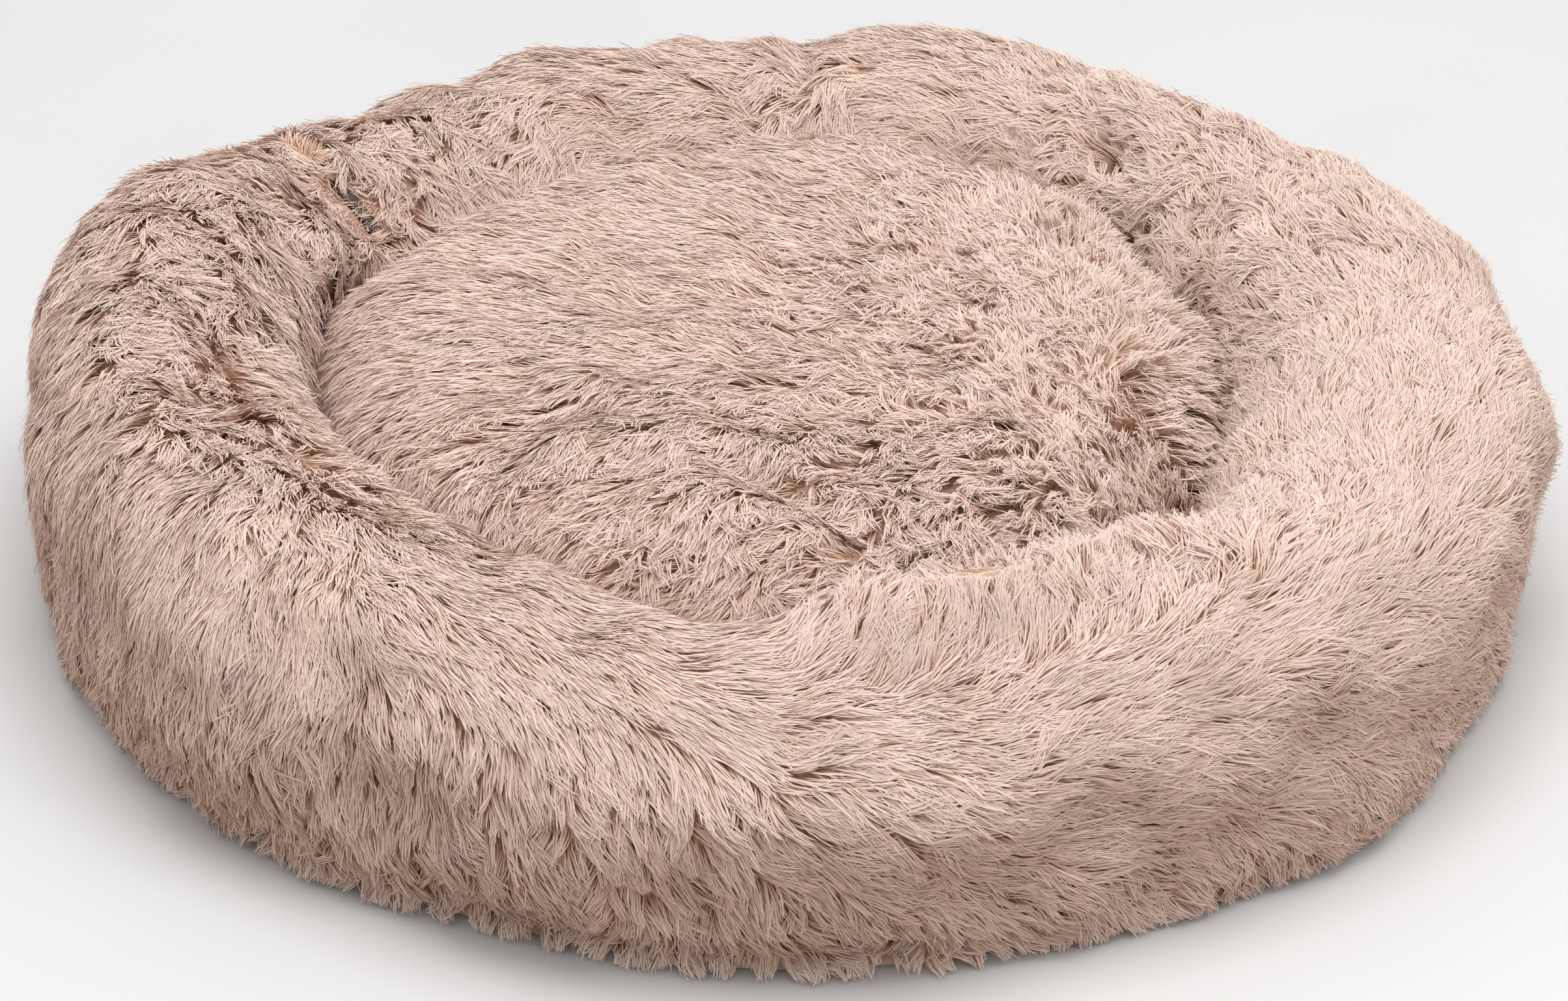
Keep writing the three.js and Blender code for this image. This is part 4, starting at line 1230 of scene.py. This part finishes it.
def softened(node, sag=0.0, cuts=1, pucker=None):
    """A finer copy of a soft CAD node's form. One smooth field rumples a cloth and what it holds alike, and
    leaves flat what rests on something."""
    form = bmesh.new()
    form.from_mesh(frame["nodes"][node].data)
    bmesh.ops.remove_doubles(form, verts=form.verts, dist=SAME_PLACE)
    bmesh.ops.subdivide_edges(form, edges=form.edges, cuts=cuts, use_grid_fill=True)
    mesh = bpy.data.meshes.new(node + "_soft")
    form.to_mesh(mesh)
    form.free()
    points = np.empty(len(mesh.vertices) * 3)
    mesh.vertices.foreach_get("co", points)
    points = points.reshape(-1, 3)
    height = points[:, 2:] - points[:, 2].min()
    free = np.clip(height / FREE_HEIGHT, 0, 1)
    shift = np.stack([RUMPLES[axis](points) for axis in range(3)], 1) * sag * free
    if pucker is not None:
        shift = shift + pucker(points)
    mesh.vertices.foreach_set("co", (points + shift).ravel())
    mesh.polygons.foreach_set("use_smooth", np.ones(len(mesh.polygons), bool))
    mesh.update()
    thing = add_object(node + "_soft", mesh, node_body(node), node_slot(node))
    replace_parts(thing, node)
    return thing


RUMPLES = [waves(40 + axis, 0.045) for axis in range(3)]

# The gathers under the cushion's seam: how many there are round it, how deep, how far down and how far
# in they reach
SEAM_PUCKERS = 64
PUCKER_DEPTH = 0.0016
PUCKER_REACH = 0.014
PUCKER_INNER_RADIUS = 0.2


def seam_pucker(points):
    """Gathers under the cushion's seam, which fade out downwards."""
    azimuth = np.arctan2(points[:, 1], points[:, 0])
    radius = np.hypot(points[:, 0], points[:, 1])
    near = np.exp(-(((points[:, 2] - CUSHION_SEAM) / PUCKER_REACH) ** 2)) * (radius > PUCKER_INNER_RADIUS)
    inward = -PUCKER_DEPTH * near * (1 + np.cos(azimuth * SEAM_PUCKERS + 2 * BROAD_LUMPS(points)))
    return np.stack([np.cos(azimuth) * inward, np.sin(azimuth) * inward, np.zeros(len(points))], 1)


def make_soft_parts():
    for tube in ("front", "back"):
        for layer in ("liner", "fill"):
            softened(f"bolster_{tube}_tube_{layer}", TUBE_SAG)
    softened("base_wadding")
    softened("cushion_underside", CUSHION_SAG, 3, seam_pucker)
    softened("cushion_fill", CUSHION_SAG, 2)


def round_sheet(node):
    """A flat sewn cloth that was cut round."""
    cloth = softened(node)
    return cloth


def make_sheets():
    base = round_sheet("base_panel")
    round_sheet("nest_floor_panel")
    softened("base_binding")


# Zips and stitches

COIL_WIRE = 0.00038
COIL_OFFSET = 0.0016
COIL_HALF_WIDTH = 0.0019
COIL_HALF_HEIGHT = 0.0008
COIL_DEPTH = 0.0200
COIL_SHARES = (0.492, 0.885)
COIL_SIDES = 6
TAPE_DEPTH = 0.0234
TAPE_STITCH_SHARES = (0.51, 0.86)
TAPE_STITCH_OFFSETS = (-0.0105, -0.0045, 0.0045, 0.0105)
STITCH_LENGTH = 0.0026
STITCH_GAP = 0.0012
CUSHION_STITCH_DROP = 0.003
BASE_STITCH_INSET = 0.006
THREAD_RADIUS = 0.00028
THREAD_SIDES = 5


def tubes_object(name, paths, radius, sides, body, slot, is_tapered=False):
    """Round tubes of so many sides along paths, in one piece. Tapered ones narrow at both ends."""
    angle = np.linspace(0, 2 * np.pi, sides, endpoint=False)[None, :, None]
    corner = np.arange(sides)
    following = (corner + 1) % sides
    vertices, faces, start = [], [], 0
    for path in paths:
        along = unit(np.gradient(path, axis=0))
        steady = np.where(np.abs(along[:, 2:]) < 0.9, [[0, 0, 1]], [[1, 0, 0]])
        side = unit(np.cross(along, steady))
        lift = np.cross(side, along)
        width = np.full(len(path), radius)
        if is_tapered:
            width = width * np.sqrt(np.maximum(0.05, 1 - np.linspace(-1, 1, len(path)) ** 4))
        round_path = np.cos(angle) * side[:, None] + np.sin(angle) * lift[:, None]
        vertices.append((path[:, None] + width[:, None, None] * round_path).reshape(-1, 3))
        ring = start + np.arange(len(path) - 1)[:, None] * sides
        quads = [ring + corner, ring + following, ring + sides + following, ring + sides + corner]
        faces.append(np.stack(quads, -1).reshape(-1, 4))
        start += len(path) * sides
    vertices, faces = np.concatenate(vertices), np.concatenate(faces)
    mesh = mesh_of(name, vertices, faces.ravel(), np.full(len(faces), 4))
    add_object(name, mesh, body, slot)


def add_stitches(name, paths, body, slot):
    tubes_object(name, paths, THREAD_RADIUS, THREAD_SIDES, body, slot, is_tapered=True)


def zip_line(azimuth, offset, depth, shares=COIL_SHARES, count=700):
    """A line along a zip, offset metres to its side."""
    share = np.linspace(*shares, count)
    radius, height = section(np.full(count, float(azimuth)), share, depth)
    line = on_ring(azimuth, radius, height)
    angle = math.radians(azimuth)
    return line + offset * np.array([-math.sin(angle), math.cos(angle), 0])


def stitches_along(line):
    """Short paths of thread along a line."""
    steps = np.linalg.norm(np.diff(line, axis=0), axis=1)
    run = np.append(0, np.cumsum(steps))
    paths = []
    for begin in np.arange(0, run[-1] - STITCH_LENGTH, STITCH_LENGTH + STITCH_GAP):
        places = np.linspace(begin, begin + STITCH_LENGTH, 5)
        paths.append(np.stack([np.interp(places, run, line[:, axis]) for axis in range(3)], 1))
    return paths


def make_zip(side, azimuth):
    """A zip's two rows of coil, a half turn apart, and the stitches along its tapes."""
    middle = zip_line(azimuth, 0, COIL_DEPTH)
    outward = unit(zip_line(azimuth, 0, COIL_DEPTH - 0.001) - middle)
    across = unit(zip_line(azimuth, 0.001, COIL_DEPTH) - middle)
    run = np.append(0, np.cumsum(np.linalg.norm(np.diff(middle, axis=0), axis=1)))
    coils = []
    for turn, phase in ((-1, 0.0), (1, np.pi)):
        angle = 2 * np.pi * run / COIL_PITCH + phase
        offset = turn * COIL_OFFSET + COIL_HALF_WIDTH * np.cos(angle)
        height = COIL_HALF_HEIGHT * np.sin(angle)
        coils.append(middle + across * offset[:, None] + outward * height[:, None])
    tubes_object(f"{side}_zip_coil", coils, COIL_WIRE, COIL_SIDES, "bed", "zip_coil")
    rows = []
    for offset in TAPE_STITCH_OFFSETS:
        rows += stitches_along(zip_line(azimuth, offset, TAPE_DEPTH, TAPE_STITCH_SHARES))
    add_stitches(f"{side}_zip_stitches", rows, "bed", "zip_tape")


def make_seams():
    """The stitches round the cushion's seam, a little under it, and those that hold the base's binding."""
    azimuth = np.linspace(0, 360, 1441)
    radius = look_up(CUSHION_EDGE, azimuth) - 2 * SEWING_GAP
    line = on_ring(azimuth, radius, CUSHION_SEAM - CUSHION_STITCH_DROP)
    add_stitches("cushion_seam_stitches", stitches_along(line), "cushion", "lining")
    low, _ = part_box("base_binding")
    radius = look_up(RING_RADIUS, azimuth) - FOOT_INSET - PILE_DEPTH - BASE_STITCH_INSET
    line = on_ring(azimuth, radius, low.z - THREAD_RADIUS / 2)
    add_stitches("base_stitches", stitches_along(line), "bed", "base_fabric")


# Stage, light and camera

FLOOR_REACH = 6
FLOOR_BOUNCE = srgb(150, 126, 109)
FLOOR_SEEN = (0.3, srgb(231, 231, 231)), (0.7, srgb(235, 235, 235))
WORLD_BOUNCE = 0.71
CAMERA_ELEVATION = 27.5
CAMERA_DISTANCE = 2.4
CAMERA_PIVOT_HEIGHT = 0.085
CAMERA_TARGET = (0.0012, 0, 0.040)
CAMERA_LENS = 103.9


def make_stage():
    """A plain floor. It is pale where it is seen, and bounces as little light as the photograph's."""
    mesh = bpy.data.meshes.new("floor")
    corners = [(x * FLOOR_REACH, y * FLOOR_REACH, 0) for x, y in ((-1, -1), (1, -1), (1, 1), (-1, 1))]
    mesh.from_pydata(corners, [], [(0, 1, 2, 3)])
    floor = bpy.data.objects.new("floor", mesh)
    bpy.context.scene.collection.objects.link(floor)
    nodes = Surface("studio_floor", 0.9, Specular_IOR_Level=0.1)
    pale = nodes.ramp(nodes.noise(3, 2), *FLOOR_SEEN)
    mixed = nodes.add("ShaderNodeMix", {0: seen_directly(nodes), 6: FLOOR_BOUNCE, 7: pale}, data_type="RGBA")
    nodes.colour(mixed.outputs[2])
    mesh.materials.append(nodes.material)


def seen_directly(nodes):
    """A socket that is 1 for camera, glossy and transmission rays, and 0 for the light that bounces."""
    rays = nodes.add("ShaderNodeLightPath").outputs
    seen = nodes.maths("MAXIMUM", rays["Is Camera Ray"], rays["Is Glossy Ray"])
    return nodes.maths("MAXIMUM", seen, rays["Is Transmission Ray"])


def make_world():
    world = bpy.data.worlds.new("studio")
    bpy.context.scene.world = world
    nodes = Nodes(world)
    levels = {"Value": seen_directly(nodes), "To Min": WORLD_BOUNCE, "To Max": 1.0}
    strength = nodes.add("ShaderNodeMapRange", levels).outputs["Result"]
    background = nodes.tree.nodes["Background"]
    nodes.tree.links.new(strength, background.inputs["Strength"])
    background.inputs["Color"].default_value = (1, 1, 1, 1)


def make_lamp(name, place, size, watts, target=(0, 0, 0.1)):
    """A round lamp, size metres across, that faces its target."""
    lamp = bpy.data.lights.new(name, "AREA")
    lamp.shape = "DISK"
    lamp.size = size
    lamp.energy = watts
    thing = bpy.data.objects.new(name, lamp)
    thing.location = place
    thing.rotation_euler = (Vector(target) - Vector(place)).to_track_quat("-Z", "Y").to_euler()
    bpy.context.scene.collection.objects.link(thing)


def make_camera():
    elevation = math.radians(CAMERA_ELEVATION)
    lens = bpy.data.cameras.new("camera")
    lens.lens = CAMERA_LENS
    lens.sensor_width = 36
    lens.clip_end = 20
    camera = bpy.data.objects.new("camera", lens)
    back, up = CAMERA_DISTANCE * math.cos(elevation), CAMERA_DISTANCE * math.sin(elevation)
    camera.location = (0, -back, CAMERA_PIVOT_HEIGHT + up)
    camera.rotation_euler = (Vector(CAMERA_TARGET) - camera.location).to_track_quat("-Z", "Y").to_euler()
    bpy.context.scene.collection.objects.link(camera)
    bpy.context.scene.camera = camera


make_camera()
make_world()
make_lamp("key", (0.12, -0.40, 2.4), size=1.8, watts=30)
make_lamp("fill", (1.5, -1.3, 0.8), size=1.0, watts=3)
make_stage()
dress_nodes()
make_bolster()
make_cushion()
make_soft_parts()
make_sheets()
for side, azimuth in ZIP_AZIMUTHS.items():
    make_zip(side, azimuth)
make_seams()

bpy.context.scene.view_settings.view_transform = "Standard"
